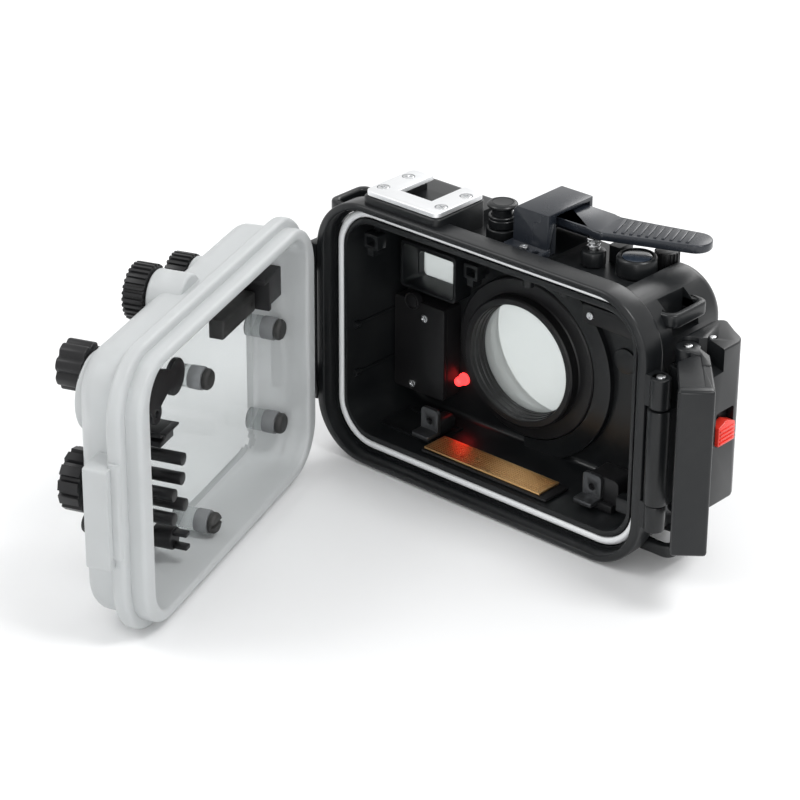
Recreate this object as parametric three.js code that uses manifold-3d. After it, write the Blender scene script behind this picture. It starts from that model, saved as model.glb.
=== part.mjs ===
// An underwater camera housing: a black front body with its lens port, a clear rear cover
// standing open on its left hinge, and a two-piece latch on its right side.
// Lengths are millimetres. Seen from behind, X runs right, Y forward to the lens, Z up.
import * as THREE from "three";
import { mergeVertices } from "three/addons/utils/BufferGeometryUtils.js";
import Module from "manifold-3d";

const wasm = await Module();
wasm.setup();

// Driving dimensions. Places are measured from the middle of the body's rear rim face.
const seatGap = 0.3;
const flushGap = 0.1;
const shaftGap = 0.35;
const overrun = 1;
const cornerSteps = 5;
const roundSides = 20;
const smallSides = 8;
const wideSides = 32;

const rim = { halfWidth: 69, halfHeight: 47.4, radius: 20, depth: 9, edge: 0.8 };
const lip = { side: 3.5, flat: 2.3, depth: 5.4, radius: 17 };
const seal = { width: 2.7, inset: 2.75, groove: 2.5, groovePlay: 0.3, sides: 8 };
const cavity = { sideWall: 9.2, flatWall: 8.8, radius: 11, depth: 37 };
const tub = { insetWide: 1.2, insetTall: 2.3, draft: 0.3, frontWall: 5, shoulder: 15, noseRound: 5 };
const noseShares = [[1, 0], [0.5, 0.16], [0.12, 0.55], [0, 0.9]];
const toothFlankShare = 0.12;
const evenTopShare = 0.5;
const screwShankShare = 0.6;
const backShares = [[0, 1], [0.3, 0.3], [1, 0]];
const shelf = { right: -17.6, rear: 10.6, height: -6.4 };
const pad = { halfWidth: 35, rear: 9.5, front: 36, radius: 5, drop: 0.3 };
const insert = { y: 31, radius: 4.8, bore: 3.1, depth: 5 };

const lens = {
  x: -6, z: -6.5, glassRadius: 22.5, glassDepth: 2.8, wallBore: 23, boss: 30, bossHeight: 2,
  seatBore: 27, seatDepth: 1.8, plateRadius: 35.5, plateHeight: 2.2,
};
const collar = { flange: 28.5, flangeDepth: 2.4, tube: 23, mouth: 20.2, throat: 19.4, length: 6.6 };
const port = {
  outer: 29.4, height: 8, spigot: 26.7, mouth: 20.5, cone: 24.6, thread: 26,
  threadDepth: 3.6, edge: 1, sealWidth: 1.6,
};
const flash = {
  left: -55.5, right: -38, bottom: 8, top: 17.6, radius: 1.5, rebate: 0.9, pane: 2,
  frameLeft: -57, frameRight: -32.4, frameBottom: 7, frameTop: 24, frameHeight: 8, frameWall: 1.2,
};
const battery = {
  left: 10.2, right: -36.5, bottom: 17, top: 3.5, depth: 6.7, lid: 1.4, radius: 1,
  capX: 18.6, capRadius: 3.1, capHeight: 1, screwInset: 5.2, screwRadius: 1.5, screwHeight: 0.5,
};
const led = { x: -34, z: 23.7, radius: 1.7, length: 4.6, flange: 2.2, flangeHeight: 0.9 };
const sensor = {
  left: -27.5, right: 22.5, rear: 8, front: 18.5, plate: 0.6, boardMargin: 0.7, boardTail: 3.2,
  board: 1.1,
};
const floorFrame = { left: -53.5, right: -28.4, rear: 14, front: 29.5, width: 0.8, height: 0.8 };
const rest = {
  width: 7.6, sheet: 1.6, lift: 1.8, footLength: 5, tabRear: 16.4, tabHeight: 9.4, corner: 1.8,
  hole: 1.3, blockDepth: 9, leftX: -32.4, rightX: 37.3, blockRadius: 2.4, step: 0.9,
};
const restBlocks = {
  leftWidth: 6.2, leftHeight: 6, leftShift: -0.3, rightWidth: 13, rightHeight: 11, rightShift: 3.4,
};
const clip = { width: 6, height: 5.4, depth: 4.5, wall: 1.2, tongue: 2.6 };
const clipPlaces = {
  hungX: 15.6, hungY: 10, hungZ: -20.1, wallX: -25.6, wallY: -8.5, wallZ: -28.9, sideY: 8, sideZ: 15.9,
};
const wallRib = { upperZ: -2, lowerZ: -20, height: 0.7, thickness: 0.8, rear: 10, screwRadius: 1.3 };
const innerArm = { left: 21, right: -14, bottom: 17.6, top: 24.2, rear: -7.5, sheet: 2, screwX: 24.6 };
const innerBoss = { radius: 3, discX: 33.7, discZ: 4.9, discRadius: 4.4, discHeight: 0.8 };
const ceilingPost = { firstX: 4.6, firstY: 22, secondX: 17.8, secondY: 24.5, radius: 2, bottom: -19.8 };

const shoe = {
  left: 18.6, right: 51.3, rear: 2.2, front: 27, top: 4.6, plate: 1.6, plateInset: 0.7,
  radius: 2.5, notchLeft: 28.1, notchRight: 41.8, notchRear: 10.4, slotReach: 2.6, slot: 3.8,
  base: -11.4, screwRadius: 1.9, screwHead: 1.1, screwShank: 0.9, screwLength: 4, screwInset: 3.9,
  screwRear: 6.5, screwFront: 18.8,
};
const button = {
  x: -7, y: 22, cap: 5, capHeight: 1.8, stem: 3.4, shaft: 1.5, gland: 4.6, glandHeight: 4,
  glandBottom: -1.8, boss: 5.2, travel: 2.2, foot: 1.8, tip: -14.4,
};
const bracket = {
  left: 1.5, right: 15.8, rear: 17, front: 39.7, top: 9.4, bottom: -4.8, wall: 1.6, roof: 1.4,
  rearWall: 4.2, edge: 1.4, footLeft: 0.5, footRight: 16.6, footRear: 11, footHeight: 2.2,
  screwX: 8.6, screwRadius: 1.5, holeX: 13.4, seat: -5.1,
};
const lever = {
  tail: 4.2, barrel: 2.1, pivotX: 8.5, pivotZ: 5, rear: 23.4, front: 37.8, top: 6.8, thickness: 2.8,
  bendX: -40, padTop: 6.2, padLength: 34.4, padWidth: 14.4, tipWidth: 11.4, tipRadius: 5.4,
  padDegrees: 19, ribs: 10, ribWidth: 0.9, ribHeight: 0.5, ribStart: 3.6, ribPitch: 2.6,
  ribMargin: 1.5, pin: 1.1,
};
const plunger = {
  x: -41.5, y: 25.6, gland: 4.4, glandTop: -1.2, glandBottom: -6.1, shaft: 1.4, cap: 2.5,
  capHeight: 0.7, tip: -14.4,
};
const spring = { radius: 2.05, wire: 0.24, curls: 2, steps: 8, sides: 5 };
const knob = {
  x: -26.7, y: 28.9, radius: 6.6, bottom: -6, top: 0.1, bevel: 0.8, shaft: 1.8, tip: -13.9,
  boss: 6.9, dish: 4.9, dishDepth: 0.6,
};
const dial = {
  x: -22.6, y: 2.2, radius: 4.1, teeth: 16, tooth: 0.5, bottom: -5.9, top: -0.4, shaft: 1.5,
  pocket: 3.6, pocketTop: -8.4, boss: 4.4, tip: -12,
};
const stopBlock = { left: -39.6, right: -35.2, rear: 31, front: 38.4, bottom: -7.4, top: -0.8 };
const strap = { thick: 4.6, bar: 2.6, radius: 3.5, reach: 3.6 };
const strapRight = { outer: 0.7, inner: -19, well: -8.1, rear: 12.4, front: 31, top: -7.4 };
const strapLeft = { outer: 2.6, inner: 17, well: 10.1, rear: 3, front: 20.6, top: -3.4 };
const strapLow = { outer: 5.6, inner: -11, rear: 9.5, front: 27.5, top: 9.7 };

const hinge = {
  x: -4, y: -7, radius: 3.4, pin: 1.5, low: -30, lowTop: -19, highBottom: 17, high: 27.5,
  plate: 3, plateFront: 8.6, plateRear: 0.6, openDegrees: 70, pinOverhang: 0.7,
};
const cover = {
  flangeDepth: 4.8, faceGap: 0.3, plugInset: 0.5, plugGap: 0.5, tubInsetWide: 7.3, tubInsetTall: 3,
  radius: 14, back: 18.4, panel: 3.7, wall: 3.3, backRound: 5.5, knuckleGap: 0.4,
};
const catchPad = {
  bottom: -18.4, top: 15.6, outer: 3.6, rear: 11.4, step: 3.1, stepOuter: 1.3, stepBottom: -15,
  stepTop: 16.8, front: 0.6, root: -8.5,
};

const cushion = {
  post: 3.9, radius: 3.5, slot: 1.1, slotDepth: 1.2,
};
const cushionPlaces = {
  edgeX: [14.4, 14.4], middleX: [-3.3, 3.4], z: [6.2, -28.4, 11, -36.2], postEnd: [5, 5, 7, 3],
  end: [2.4, 2.4, 4.5, 0.2],
};
const finger = {
  left: 11.1, right: 21, wingRight: 24.3, legLeft: 19, bottom: 17.3, legBottom: 15.4, top: 27.7,
  wing: 1.8, front: 4.4,
};
const rail = { left: 21.4, right: -22.9, bottom: 15.2, top: 22, front: 9, bevel: 0.8 };
const cam = {
  x: -24, z: -13.4, lobes: 8, radius: 7.8, lobe: 0.8, lobeShare: 0.6, rear: 29.5, front: 20.8,
  bossX: -22.5, bossZ: -19.9, boss: 12.5, bossRear: 20.2, shaft: 2.4, inner: 8, hub: 4.2, plate: 1.6,
  discX: 14.2, discZ: -28, disc: 6, lugX: 28.4, lugZ: -34.4, lug: 3.4, hole: 1.3, armWidth: 4.4, bevel: 1,
};
const wheel = {
  x: [1.5, -26], z: [-7.4, -14.4], radius: [9.3, 8.6], teeth: 20, tooth: 0.7, rear: 28, front: 21,
  boss: 8.2, bossRear: 20.6, bossFront: 8.6, pocket: 4.6, pocketRear: 12.2, shaft: 1.6, disc: 3.9,
  discRear: 11.8, discFront: 10,
};
const jog = {
  x: -17.5, z: -1, radius: 9.8, teeth: 12, tooth: 1.1, toothShare: 0.36, rear: 26, front: 19.2,
  shaft: 2.2, disc: 5, discRear: 12.6, discFront: 10.6, prong: 1.5, prongFront: 5, prongReach: 3.2,
  bevel: 0.2,
};
const fork = {
  x: 23, z: 14.8, knob: 4.6, rear: 24, front: 19, shaft: 1.6, body: 3.8, bodyRear: 12.8,
  bodyFront: 6, prong: 1.3, prongFront: 1.4, prongReach: 2.3, prongHalf: 1.5,
};
const selector = {
  left: 20.4, right: 29.6, bottom: 2.2, top: 7.4, front: 6.6, blade: 0.8, bladeFront: 4.6,
  slot: 1.2, slotDepth: 2.4,
};
const press = { cap: 3.2, capHeight: 3.9, shaft: 1.2, rod: 2.1, travel: 1.4 };
const pressPlaces = {
  middleX: [25.2, 22.2, 30.2, 24.8, 31.8],
  edgeX: -20.5,
  z: [-2.6, -11.3, -13.1, -18.8, -20.6, -17.4],
  tip: [1, 3, 2, 1, 1.5, 4],
};

const latch = {
  axisX: 4.5, axisY: 1.8, barrel: 3.8, armBarrel: 3.3, pin: 1.5, sleeveBottom: -18.5, sleeveTop: 14.3,
  highTop: 25, lowBottom: -28, knuckleGap: 0.3, armRear: 0.2, armFront: 5.1, dot: 0.4,
};
const block = {
  inner: 1.8, outer: 17, rear: 8.8, front: 35, bottom: -20.7, top: 33, radius: 2.6, bevel: 1,
  sideFront: 24.4, bendX: 11, bendY: 30.3, noseX: 4.4, webInner: 2.5, webOuter: 8,
};
const hook = {
  pivotX: 5.8, pivotY: 13.4, lobe: 4, pin: 1.3, top: 31.8, bottom: -24.8, lobeTopBottom: 26,
  lobeLowTop: -21.2, plateStart: 12.2, length: 31, inside: 3.2, outside: 6.4, lip: 4.8, lipDepth: 4,
  lipTop: 30.5, clear: 0.5, openDegrees: 50, swingDegrees: 20, plateTop: 31.5,
};
const lock = {
  rear: 14.2, front: 23.3, bottom: 0.5, top: 6.9, point: 1.8, travel: 2.8, depth: 2.6, proud: 1.2,
  ribs: 4, ribPitch: 1.4, ribHeight: 0.4, pinX: 8.9, pinY: 21.6, pin: 1.1, pinLength: 9,
};

// Places above that are given from the rim's nearest edge, or from the front wall, become places
// from the middle of the rim
const topEdge = rim.halfHeight;
const bottomEdge = -rim.halfHeight;
const rightEdge = rim.halfWidth;
const leftEdge = -rim.halfWidth;
const edgePlaces = [
  [topEdge, shelf, "height"],
  [topEdge, shoe, "top", "base"],
  [topEdge, button, "glandBottom", "tip"],
  [topEdge, bracket, "top", "bottom", "seat"],
  [topEdge, lever, "pivotZ", "top", "padTop"],
  [topEdge, plunger, "glandTop", "glandBottom", "tip"],
  [topEdge, knob, "bottom", "top", "tip"],
  [topEdge, dial, "bottom", "top", "pocketTop", "tip"],
  [topEdge, stopBlock, "bottom", "top"],
  [topEdge, strapRight, "top"],
  [topEdge, strapLeft, "top"],
  [topEdge, ceilingPost, "bottom"],
  [topEdge, clipPlaces, "hungZ", "wallZ"],
  [topEdge, cam, "z", "bossZ", "discZ", "lugZ"],
  [bottomEdge, strapLow, "top"],
  [bottomEdge, fork, "z"],
  [bottomEdge, battery, "bottom"],
  [bottomEdge, led, "z"],
  [bottomEdge, clipPlaces, "sideZ"],
  [rightEdge, lever, "bendX"],
  [rightEdge, plunger, "x"],
  [rightEdge, knob, "x"],
  [rightEdge, dial, "x"],
  [rightEdge, stopBlock, "left", "right"],
  [rightEdge, shelf, "right"],
  [rightEdge, strapRight, "outer", "inner", "well"],
  [rightEdge, strapLow, "outer", "inner"],
  [rightEdge, catchPad, "outer", "stepOuter", "root"],
  [rightEdge, cam, "x", "bossX"],
  [rightEdge, jog, "x"],
  [rightEdge, latch, "axisX"],
  [rightEdge, block, "inner", "outer", "bendX", "noseX", "webInner", "webOuter"],
  [rightEdge, hook, "pivotX"],
  [rightEdge, lock, "pinX"],
  [rightEdge, innerArm, "right"],
  [leftEdge, shoe, "left", "right", "notchLeft", "notchRight"],
  [leftEdge, strapLeft, "outer", "inner", "well"],
  [leftEdge, hinge, "x"],
  [leftEdge, battery, "left", "capX"],
  [leftEdge, finger, "left", "right", "wingRight", "legLeft"],
  [leftEdge, rail, "left"],
  [leftEdge, clipPlaces, "hungX"],
  [cavity.depth, innerArm, "rear"],
  [cavity.depth, dial, "y"],
  [cavity.depth, clipPlaces, "wallY"],
];
edgePlaces.forEach(([edge, piece, ...names]) => names.forEach((name) => {
  piece[name] += edge;
}));
cavity.halfWidth = rightEdge - cavity.sideWall;
cavity.halfHeight = topEdge - cavity.flatWall;
const cushionX = [...cushionPlaces.edgeX.map((x) => x + leftEdge), ...cushionPlaces.middleX];
const pressX = [...pressPlaces.middleX, pressPlaces.edgeX + rightEdge];
const wheelZ = wheel.z.map((z) => z + topEdge);

// Sizes that follow from the driving dimensions
const bodyFront = cavity.depth + tub.frontWall;
const floorZ = -rim.halfHeight - pad.drop;
const padMiddle = (pad.rear + pad.front) / 2;
const coverRear = -cover.back;
const panelFace = coverRear + cover.panel;

// Materials by what the pieces are made of
const finish = (color, roughness, metalness) =>
  new THREE.MeshStandardMaterial({ color, roughness, metalness });
const blackMoulding = finish(0x24272a, 0.45, 0.1);
const blackPlastic = finish(0x1b1d1f, 0.5, 0);
const blackRubber = finish(0x17191a, 0.85, 0);
const whiteRubber = finish(0xe8eaea, 0.6, 0);
const clearPlastic = finish(0xdfe6e8, 0.25, 0);
const glass = finish(0xd5dcdc, 0.05, 0);
const steel = finish(0xc9ccce, 0.3, 1);
const copper = finish(0xc98a45, 0.35, 0.9);
const redPlastic = finish(0xd9362b, 0.45, 0);

// Solids and their joins and cuts
function toSolid(geometry) {
  const bare = geometry.clone();
  bare.deleteAttribute("normal");
  bare.deleteAttribute("uv");
  const merged = mergeVertices(bare);
  const vertProperties = Float32Array.from(merged.attributes.position.array);
  const triVerts = Uint32Array.from(merged.index.array);
  return new wasm.Manifold(new wasm.Mesh({ numProp: 3, vertProperties, triVerts }));
}

function toGeometry(solid) {
  const { numProp, vertProperties, triVerts } = solid.getMesh();
  const geometry = new THREE.BufferGeometry();
  geometry.setAttribute("position", new THREE.BufferAttribute(vertProperties, numProp));
  geometry.setIndex(new THREE.BufferAttribute(triVerts, 1));
  geometry.computeVertexNormals();
  return geometry;
}

const join = (...geometries) =>
  toGeometry(geometries.map(toSolid).reduce((whole, next) => whole.add(next)));

function cut(geometry, ...tools) {
  return toGeometry(tools.map(toSolid).reduce((rest, tool) => rest.subtract(tool), toSolid(geometry)));
}

const overlapOf = (first, second) => toGeometry(toSolid(first).intersect(toSolid(second)));

// Plain shapes
function slab(x0, x1, y0, y1, z0, z1) {
  const geometry = new THREE.BoxGeometry(x1 - x0, y1 - y0, z1 - z0);
  return geometry.translate((x0 + x1) / 2, (y0 + y1) / 2, (z0 + z1) / 2);
}

function rodZ(x, y, z0, z1, radius, sides = roundSides) {
  const geometry = new THREE.CylinderGeometry(radius, radius, z1 - z0, sides);
  return geometry.rotateX(Math.PI / 2).translate(x, y, (z0 + z1) / 2);
}

function rodY(x, z, y0, y1, radius, sides = roundSides) {
  const geometry = new THREE.CylinderGeometry(radius, radius, y1 - y0, sides);
  return geometry.translate(x, (y0 + y1) / 2, z);
}

function roundedShape(u0, u1, v0, v1, radius) {
  const shape = new THREE.Shape();
  shape.absarc(u1 - radius, v1 - radius, radius, 0, Math.PI / 2);
  shape.absarc(u0 + radius, v1 - radius, radius, Math.PI / 2, Math.PI);
  shape.absarc(u0 + radius, v0 + radius, radius, Math.PI, (Math.PI * 3) / 2);
  shape.absarc(u1 - radius, v0 + radius, radius, (Math.PI * 3) / 2, Math.PI * 2);
  return shape;
}

const polygon = (points) => new THREE.Shape(points.map(([u, v]) => new THREE.Vector2(u, v)));

function extruded(shape, length, bevel) {
  return new THREE.ExtrudeGeometry(shape, {
    depth: length - 2 * bevel,
    curveSegments: 3,
    bevelEnabled: bevel > 0,
    bevelThickness: bevel,
    bevelSize: bevel,
    bevelOffset: -bevel,
    bevelSegments: 1,
  }).translate(0, 0, bevel);
}

// A shape in the XY plane raised from z0 to z1
const prismZ = (shape, z0, z1, bevel = 0) => extruded(shape, z1 - z0, bevel).translate(0, 0, z0);

// A shape in the XZ plane carried from y0 to y1
function prismY(shape, y0, y1, bevel = 0) {
  return extruded(shape, y1 - y0, bevel).rotateX(Math.PI / 2).translate(0, y1, 0);
}

// A shape in the YZ plane carried from x0 to x1
function prismX(shape, x0, x1, bevel = 0) {
  const turn = new THREE.Matrix4().makeBasis(
    new THREE.Vector3(0, 1, 0),
    new THREE.Vector3(0, 0, 1),
    new THREE.Vector3(1, 0, 0),
  );
  return extruded(shape, x1 - x0, bevel).applyMatrix4(turn).translate(x0, 0, 0);
}

// A closed ring of (radius, height) points turned about a vertical line, then laid along Y
function turnedY(x, z, points, sides = wideSides) {
  const profile = [...points, points[0]].map(([radius, y]) => new THREE.Vector2(radius, y));
  return new THREE.LatheGeometry(profile, sides).translate(x, 0, z);
}

// The same about Z
function turnedZ(x, y, points, sides = roundSides) {
  const profile = [...points, points[0]].map(([radius, z]) => new THREE.Vector2(radius, z));
  return new THREE.LatheGeometry(profile, sides).rotateX(Math.PI / 2).translate(x, y, 0);
}

// A loop of points round a rectangle in the XZ plane; each corner has its own radius
function roundedLoop({ y, halfWidth, halfHeight, radii }) {
  const signs = [[1, 1], [-1, 1], [-1, -1], [1, -1]];
  return signs.flatMap(([right, up], corner) => {
    const radius = radii[corner];
    const x = right * (halfWidth - radius);
    const z = up * (halfHeight - radius);
    return Array.from({ length: cornerSteps + 1 }, (_, step) => {
      const angle = ((corner + step / cornerSteps) * Math.PI) / 2;
      return new THREE.Vector3(x + radius * Math.cos(angle), y, z + radius * Math.sin(angle));
    });
  });
}

// Loops of equal length sewn into one skin, capped at both ends or closed on itself
function sewn(loops, closed = false) {
  const count = loops[0].length;
  const positions = loops.flat().flatMap((point) => [point.x, point.y, point.z]);
  const index = [];
  const rows = closed ? loops.length : loops.length - 1;
  for (let row = 0; row < rows; row += 1) {
    const next = (row + 1) % loops.length;
    for (let i = 0; i < count; i += 1) {
      const j = (i + 1) % count;
      const [a, b, c, d] = [row * count + i, next * count + i, next * count + j, row * count + j];
      index.push(a, b, c, a, c, d);
    }
  }
  if (!closed) {
    [0, loops.length - 1].forEach((row, side) => {
      const middle = new THREE.Vector3();
      loops[row].forEach((point) => middle.addScaledVector(point, 1 / count));
      const centre = positions.length / 3;
      positions.push(middle.x, middle.y, middle.z);
      for (let i = 0; i < count; i += 1) {
        const edge = [row * count + i, row * count + ((i + 1) % count)];
        index.push(centre, ...(side === 0 ? edge : edge.reverse()));
      }
    });
  }
  const geometry = new THREE.BufferGeometry();
  geometry.setAttribute("position", new THREE.Float32BufferAttribute(positions, 3));
  geometry.setIndex(index);
  return geometry;
}

// A skin through sections that are each a set distance inside the housing's outline
function insetLoft(sections) {
  return sewn(sections.map(({ y, inset, wide = inset, tall = inset, radius = rim.radius - inset,
    shoulder = radius }) => roundedLoop({
    y,
    halfWidth: rim.halfWidth - wide,
    halfHeight: rim.halfHeight - tall,
    radii: [shoulder, radius, radius, radius],
  })));
}

function roundedBlock(halfWidth, halfHeight, radius, y0, y1) {
  const radii = [radius, radius, radius, radius];
  return sewn([y0, y1].map((y) => roundedLoop({ y, halfWidth, halfHeight, radii })));
}

// A toothed or lobed outline round a centre in the XZ or XY plane
function toothedShape(u, v, radius, tooth, teeth, topShare = evenTopShare) {
  const points = [];
  for (let i = 0; i < teeth; i += 1) {
    const start = (i / teeth) * 2 * Math.PI;
    const width = (2 * Math.PI) / teeth;
    const shares = [0, toothFlankShare, topShare, topShare + toothFlankShare];
    const radii = [radius - tooth, radius, radius, radius - tooth];
    shares.forEach((share, k) => {
      const angle = start + share * width;
      points.push([u + radii[k] * Math.cos(angle), v + radii[k] * Math.sin(angle)]);
    });
  }
  return polygon(points);
}

const assembly = new THREE.Group();
const body = new THREE.Group();
const coverGroup = new THREE.Group();
assembly.add(body);
body.add(coverGroup);

function add(parent, name, geometry, material) {
  const mesh = new THREE.Mesh(geometry, material);
  mesh.name = name;
  parent.add(mesh);
  return mesh;
}

// Front body: rim, tapered tub with one wide shoulder, bosses, lugs and pads, then the hollows
function strapLoop({ outer, inner, rear, front, top }) {
  const [low, high] = [Math.min(outer, inner), Math.max(outer, inner)];
  const bottom = top - strap.thick;
  const whole = prismZ(roundedShape(low, high, rear, front, strap.radius), bottom, top);
  const holeLow = outer < inner ? outer + strap.bar : low - overrun;
  const holeHigh = outer < inner ? high + overrun : outer - strap.bar;
  const hole = slab(
    holeLow, holeHigh, rear + strap.bar, front - strap.bar, bottom - overrun, top + overrun,
  );
  return cut(whole, hole);
}

// The room cut in the tub's shoulder under and inside a strap loop
function strapWell({ outer, well, rear, front, top }) {
  const far = outer + Math.sign(outer) * strap.reach;
  return slab(Math.min(well, far), Math.max(well, far), rear + strap.bar, front - strap.bar,
    top - strap.thick - strap.reach, top + strap.reach + overrun);
}

function frontBody() {
  const tubSection = (y, inward) => ({
    y,
    wide: tub.insetWide + inward,
    tall: tub.insetTall + inward,
    radius: rim.radius - tub.insetTall - inward,
    shoulder: tub.shoulder,
  });
  const tubSections = [
    tubSection(rim.depth - rim.edge, 0),
    ...noseShares.map(([back, inward]) =>
      tubSection(bodyFront - tub.noseRound * back, tub.draft + tub.noseRound * inward)),
  ];
  const rimSections = [
    { y: 0, inset: rim.edge },
    { y: rim.edge, inset: 0 },
    { y: rim.depth - rim.edge, inset: 0 },
    { y: rim.depth, inset: rim.edge },
  ];
  const shelfCut = slab(
    shoe.right - shoe.radius, shelf.right, shelf.rear, bodyFront + overrun,
    shelf.height, rim.halfHeight + overrun,
  );
  const shoeBlock = prismZ(
    roundedShape(shoe.left, shoe.right, shoe.rear, shoe.front, shoe.radius),
    shoe.base, shoe.top - shoe.plate - seatGap,
  );
  const bracketSeat = slab(
    bracket.footLeft, bracket.footRight, bracket.footRear, bracket.front, shoe.base, bracket.seat,
  );
  const basePad = prismZ(
    roundedShape(-pad.halfWidth, pad.halfWidth, pad.rear, pad.front, pad.radius),
    floorZ, -cavity.halfHeight - seatGap,
  );
  const latchArm = (z0, z1) => join(
    slab(rim.halfWidth - lip.side / 2, latch.axisX, latch.armRear, latch.armFront, z0, z1),
    rodZ(latch.axisX, latch.axisY, z0, z1, latch.armBarrel),
  );
  const outside = join(
    cut(
      join(cut(insetLoft(tubSections), shelfCut), insetLoft(rimSections)),
      strapWell(strapRight),
      strapWell(strapLeft),
    ),
    rodY(lens.x, lens.z, cavity.depth, bodyFront + lens.bossHeight, lens.boss, wideSides),
    shoeBlock,
    bracketSeat,
    basePad,
    rodZ(button.x, button.y, shoe.base + overrun, button.glandBottom - seatGap, button.boss),
    rodZ(plunger.x, plunger.y, shoe.base + overrun, plunger.glandBottom - seatGap, plunger.gland),
    rodZ(knob.x, knob.y, shoe.base + overrun, knob.bottom - seatGap, knob.boss),
    rodZ(dial.x, dial.y, shoe.base + overrun, dial.bottom - seatGap, dial.boss),
    slab(stopBlock.left, stopBlock.right, stopBlock.rear, stopBlock.front, stopBlock.bottom, stopBlock.top),
    strapLoop(strapRight),
    strapLoop(strapLeft),
    strapLoop(strapLow),
    latchArm(latch.sleeveTop + latch.knuckleGap, latch.highTop),
    latchArm(latch.lowBottom, latch.sleeveBottom - latch.knuckleGap),
  );
  const sealPath = {
    halfWidth: rim.halfWidth - lip.side - seal.inset,
    halfHeight: rim.halfHeight - lip.flat - seal.inset,
    radius: lip.radius - seal.inset,
  };
  const grow = seal.width / 2 + seal.groovePlay;
  const groove = cut(
    roundedBlock(sealPath.halfWidth + grow, sealPath.halfHeight + grow, sealPath.radius + grow,
      lip.depth - overrun, lip.depth + seal.groove),
    roundedBlock(sealPath.halfWidth - grow, sealPath.halfHeight - grow, sealPath.radius - grow,
      -overrun, lip.depth + seal.groove + overrun),
  );
  const slotTop = shoe.top - shoe.plate;
  const hollow = cut(
    outside,
    roundedBlock(cavity.halfWidth, cavity.halfHeight, cavity.radius, -overrun, cavity.depth),
    roundedBlock(rim.halfWidth - lip.side, rim.halfHeight - lip.flat, lip.radius, -overrun, lip.depth),
    groove,
    rodY(lens.x, lens.z, cavity.depth - overrun, bodyFront + overrun, lens.wallBore, wideSides),
    rodY(lens.x, lens.z, bodyFront - lens.seatDepth, bodyFront + lens.bossHeight + overrun,
      lens.seatBore, wideSides),
    prismY(roundedShape(flash.left, flash.right, flash.bottom, flash.top, flash.radius),
      cavity.depth - overrun, bodyFront + overrun),
    prismY(roundedShape(flash.left - flash.rebate, flash.right + flash.rebate,
      flash.bottom - flash.rebate, flash.top + flash.rebate, flash.radius),
    bodyFront - flash.pane - seatGap, bodyFront + overrun),
    slab(shoe.notchLeft - shoe.slotReach, shoe.notchRight + shoe.slotReach,
      shoe.notchRear - shoe.slotReach, shoe.front + overrun, slotTop - shoe.slot, slotTop + overrun),
    rodZ(button.x, button.y, cavity.halfHeight - overrun, button.glandBottom, button.shaft + shaftGap,
      smallSides),
    rodZ(plunger.x, plunger.y, cavity.halfHeight - overrun, plunger.glandBottom,
      plunger.shaft + shaftGap, smallSides),
    rodZ(knob.x, knob.y, cavity.halfHeight - overrun, knob.bottom, knob.shaft + shaftGap, smallSides),
    rodZ(dial.x, dial.y, cavity.halfHeight - overrun, dial.bottom, dial.shaft + shaftGap, smallSides),
    slab(dial.x - dial.pocket, dial.x + dial.pocket, cavity.depth - overrun,
      dial.y + dial.shaft + shaftGap, dial.tip - dial.pocket, dial.pocketTop),
    rodZ(lens.x, insert.y, floorZ - overrun, floorZ + insert.depth + seatGap,
      insert.radius + seatGap),
    rodZ(latch.axisX, latch.axisY, latch.lowBottom - overrun, latch.highTop + overrun,
      latch.pin + shaftGap, smallSides),
    ...shoeScrewPlaces().map(([x, y]) =>
      rodZ(x, y, slotTop - shoe.screwLength - seatGap, slotTop + overrun, shoe.screwShank + seatGap,
        smallSides)),
  );
  return join(hollow, ...wallDetails());
}

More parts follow.
